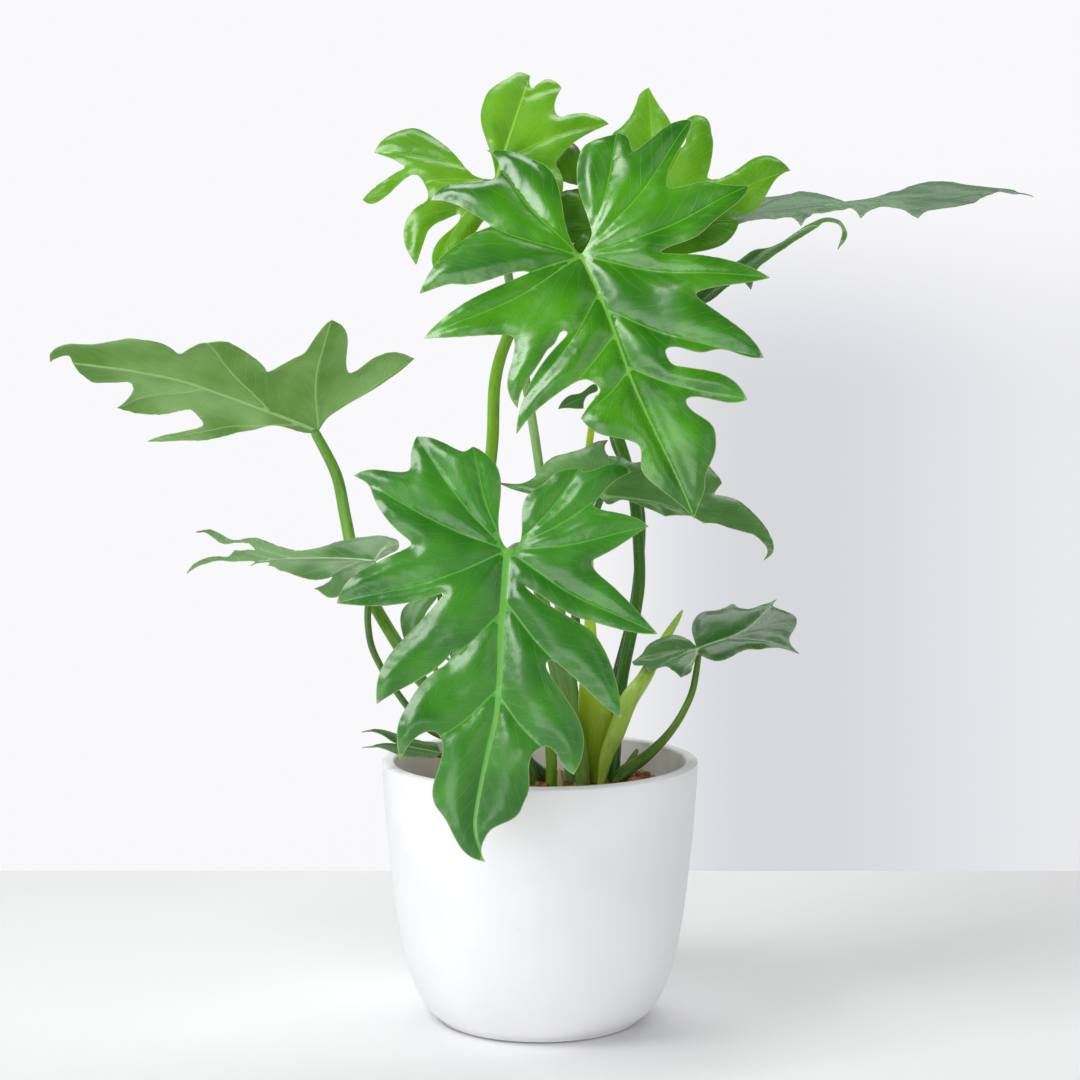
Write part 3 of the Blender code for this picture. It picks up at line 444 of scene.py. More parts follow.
def soil_material():
    """Coir and peat: reddish brown, each crumb and fibre in its own tone."""
    made, tree, shader = new_material("coir_soil", Specular_IOR_Level=0.25)
    place = place_on(tree)
    fine = speckle(tree, place, 900.0, 4.0, 0.7)
    broad = step(tree, speckle(tree, place, 60.0, 3.0), 0.35, 0.65)
    dark = mix(tree, broad, linear(92, 58, 40), linear(136, 88, 60))
    light = mix(tree, fine, linear(176, 116, 76), linear(232, 172, 122))
    body = mix(tree, attribute(tree, "tone", "Fac"), dark, light)
    body = mix(tree, step(tree, fine, 0.5, 0.85, 0.0, 0.5), body, linear(50, 30, 20))
    finish_skin(tree, shader, body, step(tree, fine, 0.2, 0.8, 0.8, 0.98), fine, 0.0012)
    return made


def pot_material():
    """Matt white glaze with a very fine grain and a few tiny grey specks."""
    made, tree, shader = new_material("matt_white_glaze")
    place = place_on(tree)
    broad = speckle(tree, place, 14.0)
    grain = speckle(tree, place, 1400.0)
    body = mix(tree, step(tree, broad, 0.3, 0.7), linear(240, 240, 242), linear(246, 246, 248))
    cells = put(tree, "TexVoronoi", {"Vector": place, "Scale": 190.0, "Randomness": 1.0})
    dots = step(tree, cells.outputs["Distance"], 0.05, 0.09, 1.0, 0.0)
    some = step(tree, speckle(tree, place, 45.0, 1.0), 0.62, 0.7)
    body = mix(tree, times(tree, times(tree, dots, some), 0.5), body, linear(176, 172, 166))
    height = maths(tree, "ADD", times(tree, grain, 0.3), broad)
    finish_skin(tree, shader, body, step(tree, broad, 0.3, 0.7, 0.42, 0.5), height, 0.00012)
    return made


def floor_material():
    made, tree, shader = new_material("pale_floor", Roughness=0.55)
    body = mix(tree, speckle(tree, place_on(tree), 3.0, 3.0), linear(240, 240, 241), linear(248, 248, 249))
    finish_skin(tree, shader, body)
    return made


# ---- mesh helpers
def add_piece(name, points, faces, materials, node, slot, slots=None, sharp=None, **data):
    """One visual piece that stands for a CAD node, from points in mm; data holds values for each."""
    mesh = bpy.data.meshes.new(name)
    mesh.from_pydata([tuple(p) for p in np.array(points) * MM], [], faces)
    for material in materials:
        mesh.materials.append(material)
    mesh.polygons.foreach_set("use_smooth", [True] * len(mesh.polygons))
    if slots is not None:
        mesh.polygons.foreach_set("material_index", slots)
    for key, values in data.items():
        values = np.asarray(values, np.float32)
        if values.ndim == 1:
            mesh.attributes.new(key, "FLOAT", "POINT").data.foreach_set("value", values)
        else:
            mesh.attributes.new(key, "FLOAT_VECTOR", "POINT").data.foreach_set("vector", values.ravel())
    if sharp:
        marked = [tuple(sorted(e.vertices)) in sharp for e in mesh.edges]
        mesh.attributes.new("sharp_edge", "BOOLEAN", "EDGE").data.foreach_set("value", marked)
    mesh.update()
    made = bpy.data.objects.new(name, mesh)
    bpy.context.scene.collection.objects.link(made)
    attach(made, "root")
    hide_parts(node)


def circle(count):
    """The cosine and sine of each angle round a ring."""
    for k in range(count):
        angle = 2 * math.pi * k / count
        yield math.cos(angle), math.sin(angle)


def ring_faces(low, high):
    count = len(low)
    return [(low[i], low[(i + 1) % count], high[(i + 1) % count], high[i]) for i in range(count)]


def tube_faces(rings):
    """The sides of a tube of rings, and a face over each end."""
    faces = []
    for low, high in zip(rings[:-1], rings[1:]):
        faces += ring_faces(low, high)
    return faces + [tuple(rings[0][::-1]), tuple(rings[-1])]


def smooth_line(corners, ends, counts):
    """Points on a smooth line through corners, with counts(length) of them between two."""
    chain = [ends[0]] + corners + [ends[1]]
    made = []
    for a, b, c, d in zip(chain[:-3], chain[1:-2], chain[2:-1], chain[3:]):
        count = counts(c - b)
        made += [between(a, b, c, d, i / count) for i in range(count)]
    made.append(corners[-1])
    return np.array(made)


# ---- leaves
class Blade:
    """The bent surface a leaf lies on; u runs across it and v along it, in mm."""

    def __init__(self, leaf):
        self.leaf = leaf
        self.at = np.array(leaf["at"], float)
        self.along = unit(np.array(leaf["along"], float))
        up = np.array(leaf["up"], float)
        self.up = unit(up - self.along * up.dot(self.along))
        self.across = np.cross(self.along, self.up)

    def points(self, u, v):
        tip, base = self.leaf["droop"]
        bend = (np.where(v >= 0, tip, base) * MM)[:, None]
        angle = bend * v[:, None]
        spine = self.at + self.along * np.sin(angle) / bend - self.up * (1 - np.cos(angle)) / bend
        rise = self.up * np.cos(angle) + self.along * np.sin(angle)
        turn = self.leaf.get("twist", 0) * MM * v[:, None]
        side = self.across * np.cos(turn) + rise * np.sin(turn)
        lift = rise * np.cos(turn) - self.across * np.sin(turn)
        left, right = self.leaf["left"], self.leaf["right"]
        fold = np.where(u < 0, left[0], right[0])[:, None]
        curl = (np.where(u < 0, left[1], right[1]) * MM)[:, None]
        reach = (np.sin(fold) - np.sin(fold - curl * abs(u[:, None]))) / curl
        height = (np.cos(fold - curl * abs(u[:, None])) - np.cos(fold)) / curl
        return spine + side * np.sign(u)[:, None] * reach + lift * height

    def normals(self, u, v):
        step_u = self.points(u + 0.5, v) - self.points(u - 0.5, v)
        step_v = self.points(u, v + 0.5) - self.points(u, v - 0.5)
        made = np.cross(step_u, step_v)
        return made / np.linalg.norm(made, axis=1)[:, None]


def outline(edge, longest):
    """Fine points round the blade, rounded a little everywhere but at the lobes' tips."""
    points, held = [], []
    x0, y0, kind0 = 0.0, 0.0, "N"
    for kind, x1, y1, *bulge in edge:
        b1, b2 = (bulge * 2 or (0, 0))[:2]
        dx, dy = x1 - x0, y1 - y0
        count = max(2, round(math.hypot(dx, dy) * (1 + 0.4 * (abs(b1) + abs(b2))) / longest))
        for i in range(count):
            t = i / count
            push = 3 * t * (1 - t) ** 2 * b1 + 3 * t * t * (1 - t) * b2
            points.append((x0 + dx * t - dy * push, y0 + dy * t + dx * push))
            held.append(i == 0 and kind0 == "T")
        x0, y0, kind0 = x1, y1, kind
    ring = np.array(points)
    free = ~np.array(held)
    for _ in range(ROUNDING):
        mid = (np.roll(ring, 1, 0) + 2 * ring + np.roll(ring, -1, 0)) / 4
        ring[free] = mid[free]
    return ring


def inside(points, ring):
    """Which points lie inside a closed ring."""
    x, y = points[:, 0:1], points[:, 1:2]
    x0, y0 = ring[:, 0], ring[:, 1]
    x1, y1 = np.roll(x0, -1), np.roll(y0, -1)
    rise = np.where(y1 == y0, 1e-12, y1 - y0)
    hit = ((y0 > y) != (y1 > y)) & (x < (x1 - x0) * (y - y0) / rise + x0)
    return hit.sum(1) % 2 == 1


def nearest(points, others):
    """Distance from each point to the nearest of others, and which it is."""
    gaps, which = [], []
    for start in range(0, len(points), BATCH):
        part = points[start:start + BATCH]
        far = ((part[:, None, :] - others[None, :, :]) ** 2).sum(2)
        which.append(far.argmin(1))
        gaps.append(np.sqrt(far.min(1)))
    return np.concatenate(gaps), np.concatenate(which)


def vein(corners):
    """Points 1 mm apart on a smooth line that runs straight on past its ends."""
    rows = [np.array(c, float) for c in corners]
    ends = (2 * rows[0] - rows[1], 2 * rows[-1] - rows[-2])
    return smooth_line(rows, ends, lambda way: max(1, int(round(np.linalg.norm(way)))))


def vein_lines(letter):
    """Main veins as (points, width at the start): the midrib, then one to every other tip."""
    habit = HABITS[letter]
    rib = vein(habit["rib"])
    end = rib[-1]
    veins = [(rib, habit["width"])]
    for kind, x, y, *_ in EDGES[letter]:
        tip = np.array((x, y), float)
        if kind != "T" or np.linalg.norm(tip - end) < 4:
            continue
        start_at = max(0.0, y - 0.9 * abs(x)) if np.linalg.norm(end) > SMALL_LEAF else 0.0
        start_at = habit.get("starts", {}).get((x, y), start_at)
        begin = rib[np.argmin(abs(rib[:, 1] - start_at))] if start_at > 0 else rib[0]
        way = tip - begin
        across = np.array((-way[1], way[0]))
        if across.dot(end) > 0:
            across = -across
        middle = begin + way * 0.45 - across * 0.05
        veins.append((vein((begin, middle, tip)), habit["side_width"]))
    return veins


def vein_rows(veins, ring, grain):
    """The rim's points and rows of points on and beside the veins, with the edges that join them."""
    fixed = [ring]
    count = len(ring)
    edges = [(i, (i + 1) % count) for i in range(count)]
    for line, width in veins:
        row = line[::max(1, int(round(grain)))]
        normal = np.gradient(row, axis=0)
        normal = np.stack((-normal[:, 1], normal[:, 0]), 1)
        normal /= np.linalg.norm(normal, axis=1)[:, None] + TINY
        taper = np.linspace(1, 0.35, len(row))[:, None] * width / 2
        for offset in (0, 1, -1):
            points = row + normal * taper * offset
            clear = nearest(points, ring)[0] > grain * 0.55
            clear &= inside(points, ring)
            if offset:
                clear &= nearest(points, np.vstack(fixed))[0] > 0.45
            else:
                kept = np.flatnonzero(clear)
                for i, (a, b) in enumerate(zip(kept[:-1], kept[1:]), count):
                    if b == a + 1:
                        edges.append((i, i + 1))
            fixed.append(points[clear])
            count += int(clear.sum())
    return np.vstack(fixed), edges


def flat_mesh(letter, ring, veins, grain):
    """The blade's flat points and triangles: a jittered grid that follows the rim and the veins."""
    fixed, edges = vein_rows(veins, ring, grain)
    low, high = ring.min(0), ring.max(0)
    columns = np.arange(low[0], high[0], grain)
    rows = np.arange(low[1], high[1], grain * ROW_STEP)
    grid = np.array([(x + grain * 0.5 * (j % 2), y) for j, y in enumerate(rows) for x in columns])
    draw = random.Random("leaf " + letter)
    grid += np.array([(draw.uniform(-JITTER, JITTER), draw.uniform(-JITTER, JITTER)) for _ in grid]) * grain
    grid = grid[inside(grid, ring)]
    grid = grid[nearest(grid, fixed)[0] > grain * 0.6]
    every = [Vector(p) for p in np.vstack((fixed, grid))]
    flat, _, tris, *_ = geometry.delaunay_2d_cdt(every, edges, [], 0, 1e-4)
    flat = np.array([(p.x, p.y) for p in flat])
    tris = np.array(tris)
    tris = tris[inside(flat[tris].mean(1), ring)]
    used = np.unique(tris)
    back = np.full(len(flat), -1)
    back[used] = np.arange(len(used))
    return flat[used], back[tris]


def measure(flat, ring, veins):
    """Distances that shape and paint the leaf: to the nearest vein and the rim, along the side
    veins, how far these show, and whether the nearest vein is the midrib."""
    rim_gap = nearest(flat, ring)[0]
    gaps, runs = [], []
    for line, width in veins:
        gap, which = nearest(flat, line)
        gaps.append(gap - np.interp(which, (0, len(line)), (width / 2, width * 0.15)))
        runs.append(which.astype(float))
    gaps = np.stack(gaps)
    order = np.argsort(gaps, axis=0)
    pick = np.arange(len(flat))
    first = gaps[order[0], pick]
    second = gaps[order[1], pick] if len(veins) > 1 else first + 20
    stripe = 0.87 * first - 0.5 * np.stack(runs)[order[0], pick]
    fade = smoothstep(0.5, 4.0, second - first) * smoothstep(0.5, 3.0, first) * smoothstep(0.3, 2.5, rim_gap)
    return first, rim_gap, stripe, fade, order[0] == 0


def soft_noise(points, size, seed):
    """Smooth noise about -1 to 1 over flat points."""
    return np.array([noise.noise(Vector((x / size, y / size, seed))) for x, y in points]) * 1.6


def settle(values, tris, rounds):
    """Evens out values between neighbours in a triangle mesh."""
    ends = np.concatenate((tris[:, [0, 1]], tris[:, [1, 2]], tris[:, [2, 0]]))
    a = np.concatenate((ends[:, 0], ends[:, 1]))
    b = np.concatenate((ends[:, 1], ends[:, 0]))
    count = np.bincount(a, minlength=len(values))
    for _ in range(rounds):
        values = 0.4 * values + 0.6 * np.bincount(a, values[b], len(values)) / np.maximum(count, 1)
    return values


def relief(letter, flat, tris, fields):
    """How far the glossy side and the underside stand off the bent surface: valleys along the
    veins, the blade puffed between them, gentle waves, a crest and a keel on each vein."""
    habit = HABITS[letter]
    first, rim_gap, stripe, fade, is_rib = fields
    size = habit["size"]
    reach = first.clip(0) + rim_gap
    share = first.clip(0) / (reach + 1e-6)
    room = np.clip(reach / (14 * size), 0, 1)
    puff = habit["puff"] * np.sin(np.pi * np.clip(share, 0, 1)) * room
    puff += habit["puff"] * 0.5 * smoothstep(0, 12 * size, first) * room
    puff -= habit["lip"] * smoothstep(0.7, 1.0, share) * room
    pleat = -habit["pleat"] * np.cos(2 * np.pi * stripe / VEIN_SPACING) * fade
    away = smoothstep(2, 30 * size, np.abs(flat[:, 0]))
    wave = habit["wave"] * soft_noise(flat, 45 * size, ord(letter)) * away
    by_rim = smoothstep(12 * size, 0, rim_gap)
    wave += habit["ruffle"] * soft_noise(flat, 22 * size, ord(letter) + 5) * by_rim
    body = settle(puff + pleat, tris, 2) + settle(wave, tris, 1)
    half = np.where(is_rib, habit["width"], habit["side_width"]) / 2
    inner = np.clip(1 + first / half, 0, 1)
    crest = np.sqrt(np.clip(1 - inner ** 2, 0, 1))
    top_rib = np.where(is_rib, habit["crest"], habit["crest"] * 0.3) * crest
    valley = np.where(is_rib, 0.5, 0.55) * size * np.exp(-(first.clip(0) / (1.6 * size)) ** 2)
    keel = np.where(is_rib, 0.55, 0.3) * half * crest * 2
    top = body + top_rib - valley + BLADE_HALF
    under = body - valley - keel - BLADE_HALF + 0.1 * smoothstep(2, 0, rim_gap)
    return top, under


def open_edges(tris):
    """The edges of a triangle mesh that only one triangle has."""
    directed = set()
    for a, b, c in tris.tolist():
        directed.update(((a, b), (b, c), (c, a)))
    return sorted((a, b) for a, b in directed if (b, a) not in directed)


def rim_pushes(flat, border):
    """The way out of the blade at each point of its border, 0 elsewhere."""
    push = np.zeros((len(flat), 2))
    for a, b in border:
        d = flat[b] - flat[a]
        out = np.array((d[1], -d[0])) / (np.linalg.norm(d) + TINY)
        push[a] += out
        push[b] += out
    return push / (np.linalg.norm(push, axis=1)[:, None] + TINY) * RIM_ROUND


def make_leaf(letter):
    """A blade with two skins and a rounded rim between them."""
    habit = HABITS[letter]
    ring = outline(EDGES[letter], habit["grain"])
    veins = vein_lines(letter)
    flat, tris = flat_mesh(letter, ring, veins, habit["grain"])
    fields = measure(flat, ring, veins)
    first, rim_gap, stripe, fade, is_rib = fields
    top, under = relief(letter, flat, tris, fields)

    blade = Blade(LEAVES[letter])
    base = blade.points(*flat.T)
    rise = blade.normals(*flat.T)
    border = open_edges(tris)
    rim = sorted({i for pair in border for i in pair})
    shifted = blade.points(*(flat + rim_pushes(flat, border))[rim].T)
    middle = shifted + rise[rim] * ((top[rim] + under[rim]) / 2)[:, None]
    points = np.vstack((base + rise * top[:, None], base + rise * under[:, None], middle))

    n = len(flat)
    place = {i: 2 * n + k for k, i in enumerate(rim)}
    faces = [tuple(t) for t in tris.tolist()]
    faces += [(c + n, b + n, a + n) for a, b, c in faces]
    sharp = set()
    for a, b in border:
        faces += [(b, a, place[a], place[b]), (place[b], place[a], a + n, b + n)]
        sharp |= {tuple(sorted((a, b))), tuple(sorted((a + n, b + n)))}
    slots = [0] * len(tris) + [1] * len(tris) + [0] * (2 * len(border))

    brown = np.zeros(n)
    for x, y, radius in habit.get("brown", ()):
        far = np.hypot(flat[:, 0] - x, flat[:, 1] - y)
        brown = np.maximum(brown, smoothstep(radius, radius * 0.35, far))
    painted = dict(lines=np.stack((first, rim_gap, stripe), 1),
                   extra=np.stack((fade, brown, is_rib.astype(float)), 1),
                   flat=np.column_stack((flat, np.full(n, ord(letter) * 7.0))))
    painted = {key: np.vstack((values, values, values[rim])) for key, values in painted.items()}
    front, back = habit["look"]
    skins = (leaf_material("leaf_skin_" + letter, *front, rib=(-0.1, 0.3), rim=habit["margin"]),
             leaf_material("leaf_back_" + letter, *back, rib=(0.0, 0.6), rim=0.2))
    add_piece("leaf_" + letter, points, faces, skins, "blade_" + letter, "blade", slots, sharp, **painted)


# ---- stalks
def soil_height(x, y):
    far = math.hypot((x - CROWN_AT[0]) / CROWN_REACH[0], (y - CROWN_AT[1]) / CROWN_REACH[1])
    return SOIL_CROWN - (SOIL_CROWN - SOIL_WALL) * smoothstep(1.0, 1.9, far)


def stalk_path(stations):
    """The stations resampled every 3 mm, from below the soil up."""
    x, y, _, *size = stations[0]
    ground = soil_height(x, y)
    rows = [(x, y, ground - 7, *size), (x, y, ground + 0.5, *size), *stations[1:]]
    rows = [np.array(row, float) for row in rows]
    return smooth_line(rows, (rows[0], rows[-1]), lambda way: max(2, int(np.linalg.norm(way[:3]) / 3.0)))


def make_stalk(name, node, stations, material, slot):
    """A round or oval stalk that starts in the soil, lightly grooved and ribbed."""
    path = stalk_path(stations)
    centres = path[:, :3]
    lengths = np.concatenate(([0], np.cumsum(np.linalg.norm(np.diff(centres, axis=0), axis=1))))
    side = np.array((1.0, 0.0, 0.0))
    points, grain, along, rings = [], [], [], []
    seed = sum(ord(c) for c in name)
    last = len(path) - 1
    for i in range(len(path) + len(TIP_ROUND)):
        j = min(i, last)
        ahead = unit(centres[min(j + 1, last)] - centres[max(j - 1, 0)])
        side = unit(side - ahead * side.dot(ahead))
        depth = np.cross(ahead, side)
        size, shift = TIP_ROUND[i - last - 1] if i > last else (1.0, 0.0)
        wide, deep = path[j, 3], path[j, 4]
        middle = centres[j] + ahead * shift * min(wide, deep)
        rings.append(list(range(len(points), len(points) + STALK_SIDES)))
        for k, (cosine, sine) in enumerate(circle(STALK_SIDES)):
            turn = 2 * math.pi * k / STALK_SIDES - math.pi * 1.5
            dent = 1 - STALK_GROOVE * math.exp(-(turn / 0.5) ** 2)
            rough = 1 + 0.02 * noise.noise(Vector((cosine * 2, sine * 2, lengths[j] / 25 + seed)))
            out = side * (wide * size) * cosine + depth * (deep * size) * sine
            points.append(middle + out * dent * rough)
            grain.append((wide * cosine + seed, deep * sine, lengths[j]))
            along.append(lengths[j] / lengths[-1])
    add_piece(name, points, tube_faces(rings), (material,), node, slot, grain=grain, along=along)


# ---- soil and pot
def inner_radius(height):
    """The pot's inner radius at a height."""
    for (r1, z1), (r2, z2) in zip(POT_INNER[:-1], POT_INNER[1:]):
        if z2 <= height <= z1 and z1 > z2:
            return r2 + (r1 - r2) * (height - z2) / (z1 - z2)
    return 0.0


def soil_surface(x, y):
    where = Vector((x / 9, y / 9, 3.0))
    fine = noise.noise(where * 3.1) * 1.3 + noise.noise(where * 7.0) * 0.8
    return soil_height(x, y) + noise.noise(where) * 1.6 + fine


class Soil:
    """A crumbly mound with loose coir chunks and fibres on it; tone runs from dark to light."""

    def __init__(self):
        self.draw = random.Random(11)
        self.reach = inner_radius(SOIL_WALL) + SOIL_LAP
        self.points, self.faces, self.tone = [], [], []

    def add(self, points, tones):
        """Adds points and returns their numbers."""
        first = len(self.points)
        self.points += points
        self.tone += tones
        return list(range(first, len(self.points)))

    def spot(self, share):
        """A place drawn evenly from this share of the mound's radius."""
        radius = self.reach * math.sqrt(self.draw.random()) * share
        angle = self.draw.uniform(0, 2 * math.pi)
        return radius * math.cos(angle), radius * math.sin(angle)

    def mound(self):
        centre = self.add([(0, 0, soil_surface(0, 0))], [0.2])[0]
        made = []
        for i in range(1, SOIL_RINGS + 1):
            radius = self.reach * i / SOIL_RINGS
            flat = [(radius * cosine, radius * sine) for cosine, sine in circle(SOIL_STEPS)]
            tones = [0.22 + 0.5 * noise.noise(Vector((x / 5, y / 5, 8.0))) for x, y in flat]
            tones = [min(1.0, max(0.0, tone)) for tone in tones]
            made.append(self.add([(x, y, soil_surface(x, y)) for x, y in flat], tones))
        for height in SOIL_SKIRT:
            radius = inner_radius(height) + SOIL_LAP
            ring = [(radius * cosine, radius * sine, height) for cosine, sine in circle(SOIL_STEPS)]
            made.append(self.add(ring, [0.2] * SOIL_STEPS))
        self.faces += [(centre, a, b) for a, b in zip(made[0], made[0][1:] + made[0][:1])]
        for low, high in zip(made[:-1], made[1:]):
            self.faces += [(a, d, c, b) for a, b, c, d in ring_faces(low, high)]
        self.faces.append(tuple(made[-1]))

    def chunks(self):
        draw = self.draw
        ball = bmesh.new()
        bmesh.ops.create_icosphere(ball, subdivisions=1, radius=1)
        shape = [v.co.copy() for v in ball.verts]
        shape_faces = [[v.index for v in f.verts] for f in ball.faces]
        ball.free()
        for _ in range(CHUNKS):
            x, y = self.spot(0.97)
            size = draw.uniform(0.7, 2.0) * (1.6 if draw.random() < 0.12 else 1)
            stretch = Vector((draw.uniform(0.7, 1.8), draw.uniform(0.6, 1.1), draw.uniform(0.4, 0.9))) * size
            axis = Vector((draw.random(), draw.random(), draw.random())).normalized()
            turn = Matrix.Rotation(draw.uniform(0, 6.28), 3, axis)
            tone = draw.uniform(0.1, 0.95)
            place = Vector((x, y, soil_surface(x, y) + size * 0.3))
            bumpy = [co * (1 + draw.uniform(-0.25, 0.25)) * stretch for co in shape]
            made = self.add([tuple(place + turn @ co) for co in bumpy], [tone] * len(shape))
            self.faces += [tuple(made[i] for i in face) for face in shape_faces]

    def fibres(self):
        draw = self.draw
        for _ in range(FIBRES):
            x, y = self.spot(0.93)
            heading = draw.uniform(0, 2 * math.pi)
            bend = draw.uniform(-0.25, 0.25)
            thick = draw.uniform(0.16, 0.34)
            hump = draw.uniform(0.3, 3.0)
            count = draw.randint(5, 11)
            tone = draw.uniform(0.45, 1.0)
            rings = []
            for i in range(count):
                heading += bend + draw.uniform(-0.15, 0.15)
                x += 1.5 * math.cos(heading)
                y += 1.5 * math.sin(heading)
                if math.hypot(x, y) > self.reach - 1.5:
                    break
                z = soil_surface(x, y) + hump * math.sin(math.pi * i / (count - 1)) + 0.2
                side = (-math.sin(heading) * thick, math.cos(heading) * thick)
                rings.append([(x + side[0] * cosine, y + side[1] * cosine, z + thick * sine)
                              for cosine, sine in circle(5)])
            if len(rings) >= 3:
                self.faces += tube_faces([self.add(ring, [tone] * 5) for ring in rings])


def make_soil():
    soil = Soil()
    soil.mound()
    soil.chunks()
    soil.fibres()
    add_piece("soil_coir", soil.points, soil.faces, (soil_material(),), "soil", "soil", tone=soil.tone)


def make_pot():
    """A turned shell with a rounded lower edge and a soft rim."""
    corners = [np.array(c, float) for c in POT_OUTER + POT_INNER]
    chain = [corners[0]] + corners + [corners[-1]]
    profile = []
    for i, (a, b, c, d) in enumerate(zip(chain[:-3], chain[1:-2], chain[2:-1], chain[3:])):
        if b[0] == 0 or c[0] == 0 or i == len(POT_OUTER) - 1:
            profile += [b + (c - b) * k / 3 for k in range(3)]
        else:
            profile += [between(a, b, c, d, k / 6) for k in range(6)]
    profile.append(corners[-1])
    points, rings = [], []
    for radius, height in profile:
        height = max(0.0, min(height, RIM_TOP))
        if radius <= 0:
            rings.append([len(points)] * POT_STEPS)
            points.append((0, 0, height))
            continue
        rings.append(list(range(len(points), len(points) + POT_STEPS)))
        points += [(radius * cosine, radius * sine, height) for cosine, sine in circle(POT_STEPS)]
    faces = []
    for low, high in zip(rings[:-1], rings[1:]):
        faces += [tuple(dict.fromkeys(face)) for face in ring_faces(low, high)]
    add_piece("pot_shell", points, faces, (pot_material(),), "pot", "pot")


# ---- what each leaf and stalk is like
def look(dark, light, vein, roughness=0.3, coat=0.12, back=((84, 122, 60), (108, 148, 80)),
         back_vein=(140, 178, 110)):
    """Colours, roughness and coat of a leaf's two sides."""
    return (dark, light, vein, roughness, coat), (*back, back_vein, 0.5, 0.0)


def grow(rib, size, shown, **more):
    """How a leaf is veined and ruffled; size scales the relief, and more replaces any of it."""
    made = dict(rib=rib, size=size, look=shown, width=2.4 * size, side_width=0.8 * size,
                grain=2.2 if size > 0.8 else 1.8, puff=2.3 * size, lip=1.2 * size, pleat=0.25 * size,
                wave=2.2 * size, ruffle=1.1 * size, crest=0.4 * size, margin=0.3)
    made.update(more)
    return made


A_LOOK = look((34, 108, 0), (74, 154, 4), (118, 184, 66), 0.36, 0.9)
B_LOOK = look((38, 110, 20), (66, 142, 34), (104, 176, 72), 0.42, 0.7)
REAR_LOOK = look((74, 140, 6), (106, 170, 22), (146, 198, 76), 0.42, 0.6)
DUSK_LOOK = look((64, 112, 48), (86, 134, 68), (130, 170, 110), 0.45, 0.15)
PALE_LOOK = look((64, 116, 50), (124, 160, 108), (168, 192, 150), 0.45, 0.3)
# rib: the midrib's points; starts: where on it the side vein to a tip leaves, where that isn't
# the usual place; brown: dry spots as (across, along, radius).
HABITS = {
    "a": grow(((0, 0), (0, 22), (1, 44), (3, 66), (5, 90), (5, 120), (4, 150), (4, 178)), 1.0, A_LOOK,
              starts={(75, 77): 27, (82, 92): 56, (43, 98): 80}, width=2.1, side_width=0.75, margin=0.5),
    "b": grow(((0, 0), (0, 27), (0, 53), (-1, 72), (-1, 100), (2, 122), (5, 145), (6, 167), (-1, 185)), 1.0,
              B_LOOK, width=4.6, side_width=1.15, margin=0.45),
    "c": grow(((0, 0), (-4, 51), (-14, 111), (-17, 178)), 0.9,
              look((96, 146, 62), (124, 172, 88), (154, 194, 114), 0.4, 0.2,
                   back=((100, 148, 62), (142, 186, 110)), back_vein=(168, 206, 134))),
    "d": grow(((0, 0), (4, 30), (7, 70), (7, 117)), 0.6, PALE_LOOK, grain=1.6, ruffle=1.2,
              brown=((69, 112, 7),)),
    "e": grow(((0, 0), (-2, 40), (-5, 94)), 0.7, REAR_LOOK),
    "f": grow(((0, 0), (3, 40), (6, 91)), 0.7, REAR_LOOK),
    "g": grow(((0, 0), (-12, 60), (-24, 140), (-36, 200), (-33, 231)), 0.6,
              look((34, 92, 34), (58, 114, 54), (116, 158, 104), 0.45, 0.2)),
    "h": grow(((0, 0), (0, 50), (25, 108)), 0.6,
              look((72, 128, 52), (106, 160, 82), (136, 180, 110), 0.4, 0.5),
              brown=((-46, 2, 6), (-1, -62, 5))),
    "i": grow(((0, 0), (-4, 35), (-30, 70)), 0.6,
              look((48, 98, 38), (84, 130, 72), (130, 170, 110), 0.36, 0.4), brown=((37, 54, 3),)),
    "j": grow(((0, 0), (0, 24), (6, 51)), 0.35, look((52, 92, 32), (76, 116, 48), (120, 150, 90))),
    "k": grow(((0, 0), (-6, 22), (-9, 51)), 0.4, look((70, 120, 56), (96, 146, 78), (130, 170, 110))),
    "l": grow(((0, 0), (-1, 12), (-2, 29)), 0.25, look((60, 108, 44), (84, 132, 66), (120, 160, 100))),
    "m": grow(((0, 0), (-6, 40), (-4, 85), (27, 88)), 0.5, DUSK_LOOK),
}
# Each stalk's colours at its foot, its top and in its streaks.
STALK_LOOKS = {
    "a": ((98, 148, 20), (114, 168, 32), (140, 188, 66)),
    "b": ((112, 150, 60), (106, 160, 70), (140, 180, 100)),
    # c: its much darker foot colour is partly painted shade, from the leaves that hang over the crown
    "c": ((42, 82, 24), (106, 160, 56), (134, 182, 84)),
    "d": ((60, 100, 40), (88, 132, 60), (110, 150, 80)),
    "e": ((110, 156, 84), (142, 184, 108), (160, 196, 130)),
    "f": ((48, 94, 28), (72, 128, 38), (90, 142, 54)),
    "g": ((46, 88, 28), (66, 116, 40), (86, 134, 56)),
    "h": ((60, 100, 40), (76, 120, 54), (100, 140, 76)),
    "i": ((58, 98, 14), (86, 130, 30), (112, 152, 54)),
    "j": ((60, 92, 34), (76, 112, 46), (100, 130, 66)),
    "k": ((64, 100, 38), (80, 120, 50), (104, 140, 70)),
    "m": ((60, 96, 40), (90, 130, 66), (110, 150, 84)),
    "sheath_l": ((152, 184, 18), (182, 212, 40), (184, 210, 72)),
    "spear": ((144, 174, 50), (166, 202, 80), (184, 212, 110)),
    "yellow_petiole": ((112, 130, 50), (150, 162, 70), (170, 178, 96)),
    "crown_scale": ((150, 158, 96), (168, 176, 112), (186, 190, 140)),
    "crown_sheath": ((84, 116, 40), (112, 142, 56), (130, 156, 80)),
    "dead_stalk": ((96, 62, 36), (138, 92, 52), (160, 118, 78)),
}

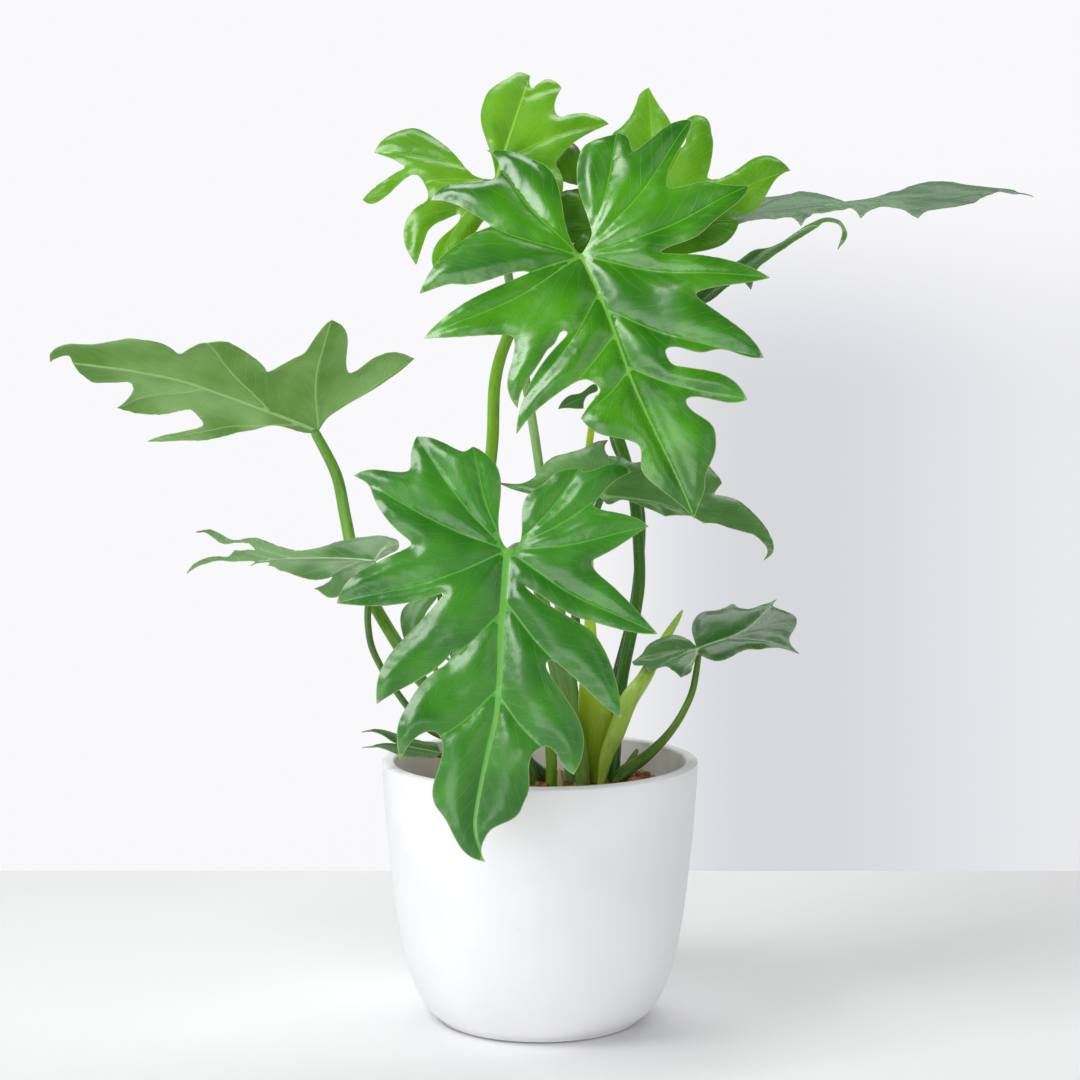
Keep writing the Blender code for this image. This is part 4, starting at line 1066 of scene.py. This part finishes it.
make_pot()
make_soil()
for letter in LEAVES:
    make_leaf(letter)
for letter, stations in PETIOLES.items():
    blade = Blade(LEAVES[letter])
    radius = stations[-1][3] - 0.2
    meet = blade.at - blade.up * radius * 0.75 + blade.along
    stations = [row + (row[3],) for row in stations] + [(*meet, radius * 0.9, radius * 0.9)]
    make_stalk("stem_" + letter, "petiole_" + letter, stations,
               stalk_material("stem_skin_" + letter, *STALK_LOOKS[letter]), "petiole")
for name, stations in STALKS.items():
    make_stalk("stalk_" + name, name, stations,
               stalk_material("stalk_skin_" + name, *STALK_LOOKS[name]),
               "dry" if name == "dead_stalk" else "sheath")


# ---- floor and light
def make_floor():
    """A level floor that slopes away behind the pot, so that its far edge keeps low."""
    side, front, bend, far, drop = 2.2, -2.2, 0.41, 3.2, -0.8
    points = [(-side, front, 0), (side, front, 0), (side, bend, 0), (-side, bend, 0),
              (side, far, drop), (-side, far, drop)]
    mesh = bpy.data.meshes.new("floor")
    mesh.from_pydata(points, [], [(0, 1, 2, 3), (3, 2, 4, 5)])
    mesh.materials.append(floor_material())
    floor = bpy.data.objects.new("floor", mesh)
    floor.location.z = -0.0002
    bpy.context.scene.collection.objects.link(floor)


def area_light(name, place, aim, size, power):
    data = bpy.data.lights.new(name, "AREA")
    data.shape = "RECTANGLE"
    data.size, data.size_y = size
    data.energy = power
    made = bpy.data.objects.new(name, data)
    made.location = place
    made.rotation_euler = (Vector(aim) - Vector(place)).to_track_quat("-Z", "Y").to_euler()
    bpy.context.scene.collection.objects.link(made)


def make_world():
    """A bright studio, softly shaded to the right behind the plant and dim overhead."""
    world = bpy.data.worlds.new("studio")
    world.use_nodes = True
    tree = world.node_tree
    seen = put(tree, "LightPath").outputs["Is Camera Ray"]
    right, back, up = parts(tree, place_on(tree, "Generated"))
    shade = times(tree, step(tree, right, 0.0, 0.086), step(tree, right, 0.1, 0.21, 1.0, 0.5))
    shade = times(tree, shade, step(tree, up, -0.041, 0.05, 1.0, 0.0))
    shade = times(tree, shade, step(tree, back, 0.0, 0.9))
    tone = mix(tree, shade, linear(249, 249, 251), linear(215, 216, 220))
    room = step(tree, up, 0.1, 0.62, 0.72, 0.05)
    sky = tree.nodes["Background"].inputs
    tree.links.new(mix(tree, seen, (0.98, 0.99, 1.0, 1.0), tone), sky["Color"])
    tree.links.new(mix(tree, seen, room, (1.0, 1.0, 1.0, 1.0)), sky["Strength"])
    bpy.context.scene.world = world


make_floor()
area_light("key", (-1.0, -0.8, 1.7), (0, 0, 0.35), (0.9, 0.9), 25)
area_light("front", (-0.6, -2.6, 0.9), (0, 0, 0.2), (2.0, 1.2), 18)
area_light("side", (1.2, -1.1, 1.4), (0, 0, 0.35), (0.9, 1.2), 3)
area_light("rear_top", (0.3, 1.1, 1.9), (0.1, 0.1, 0.0), (2.2, 1.2), 25)
make_world()
bpy.context.scene.view_settings.view_transform = "Standard"
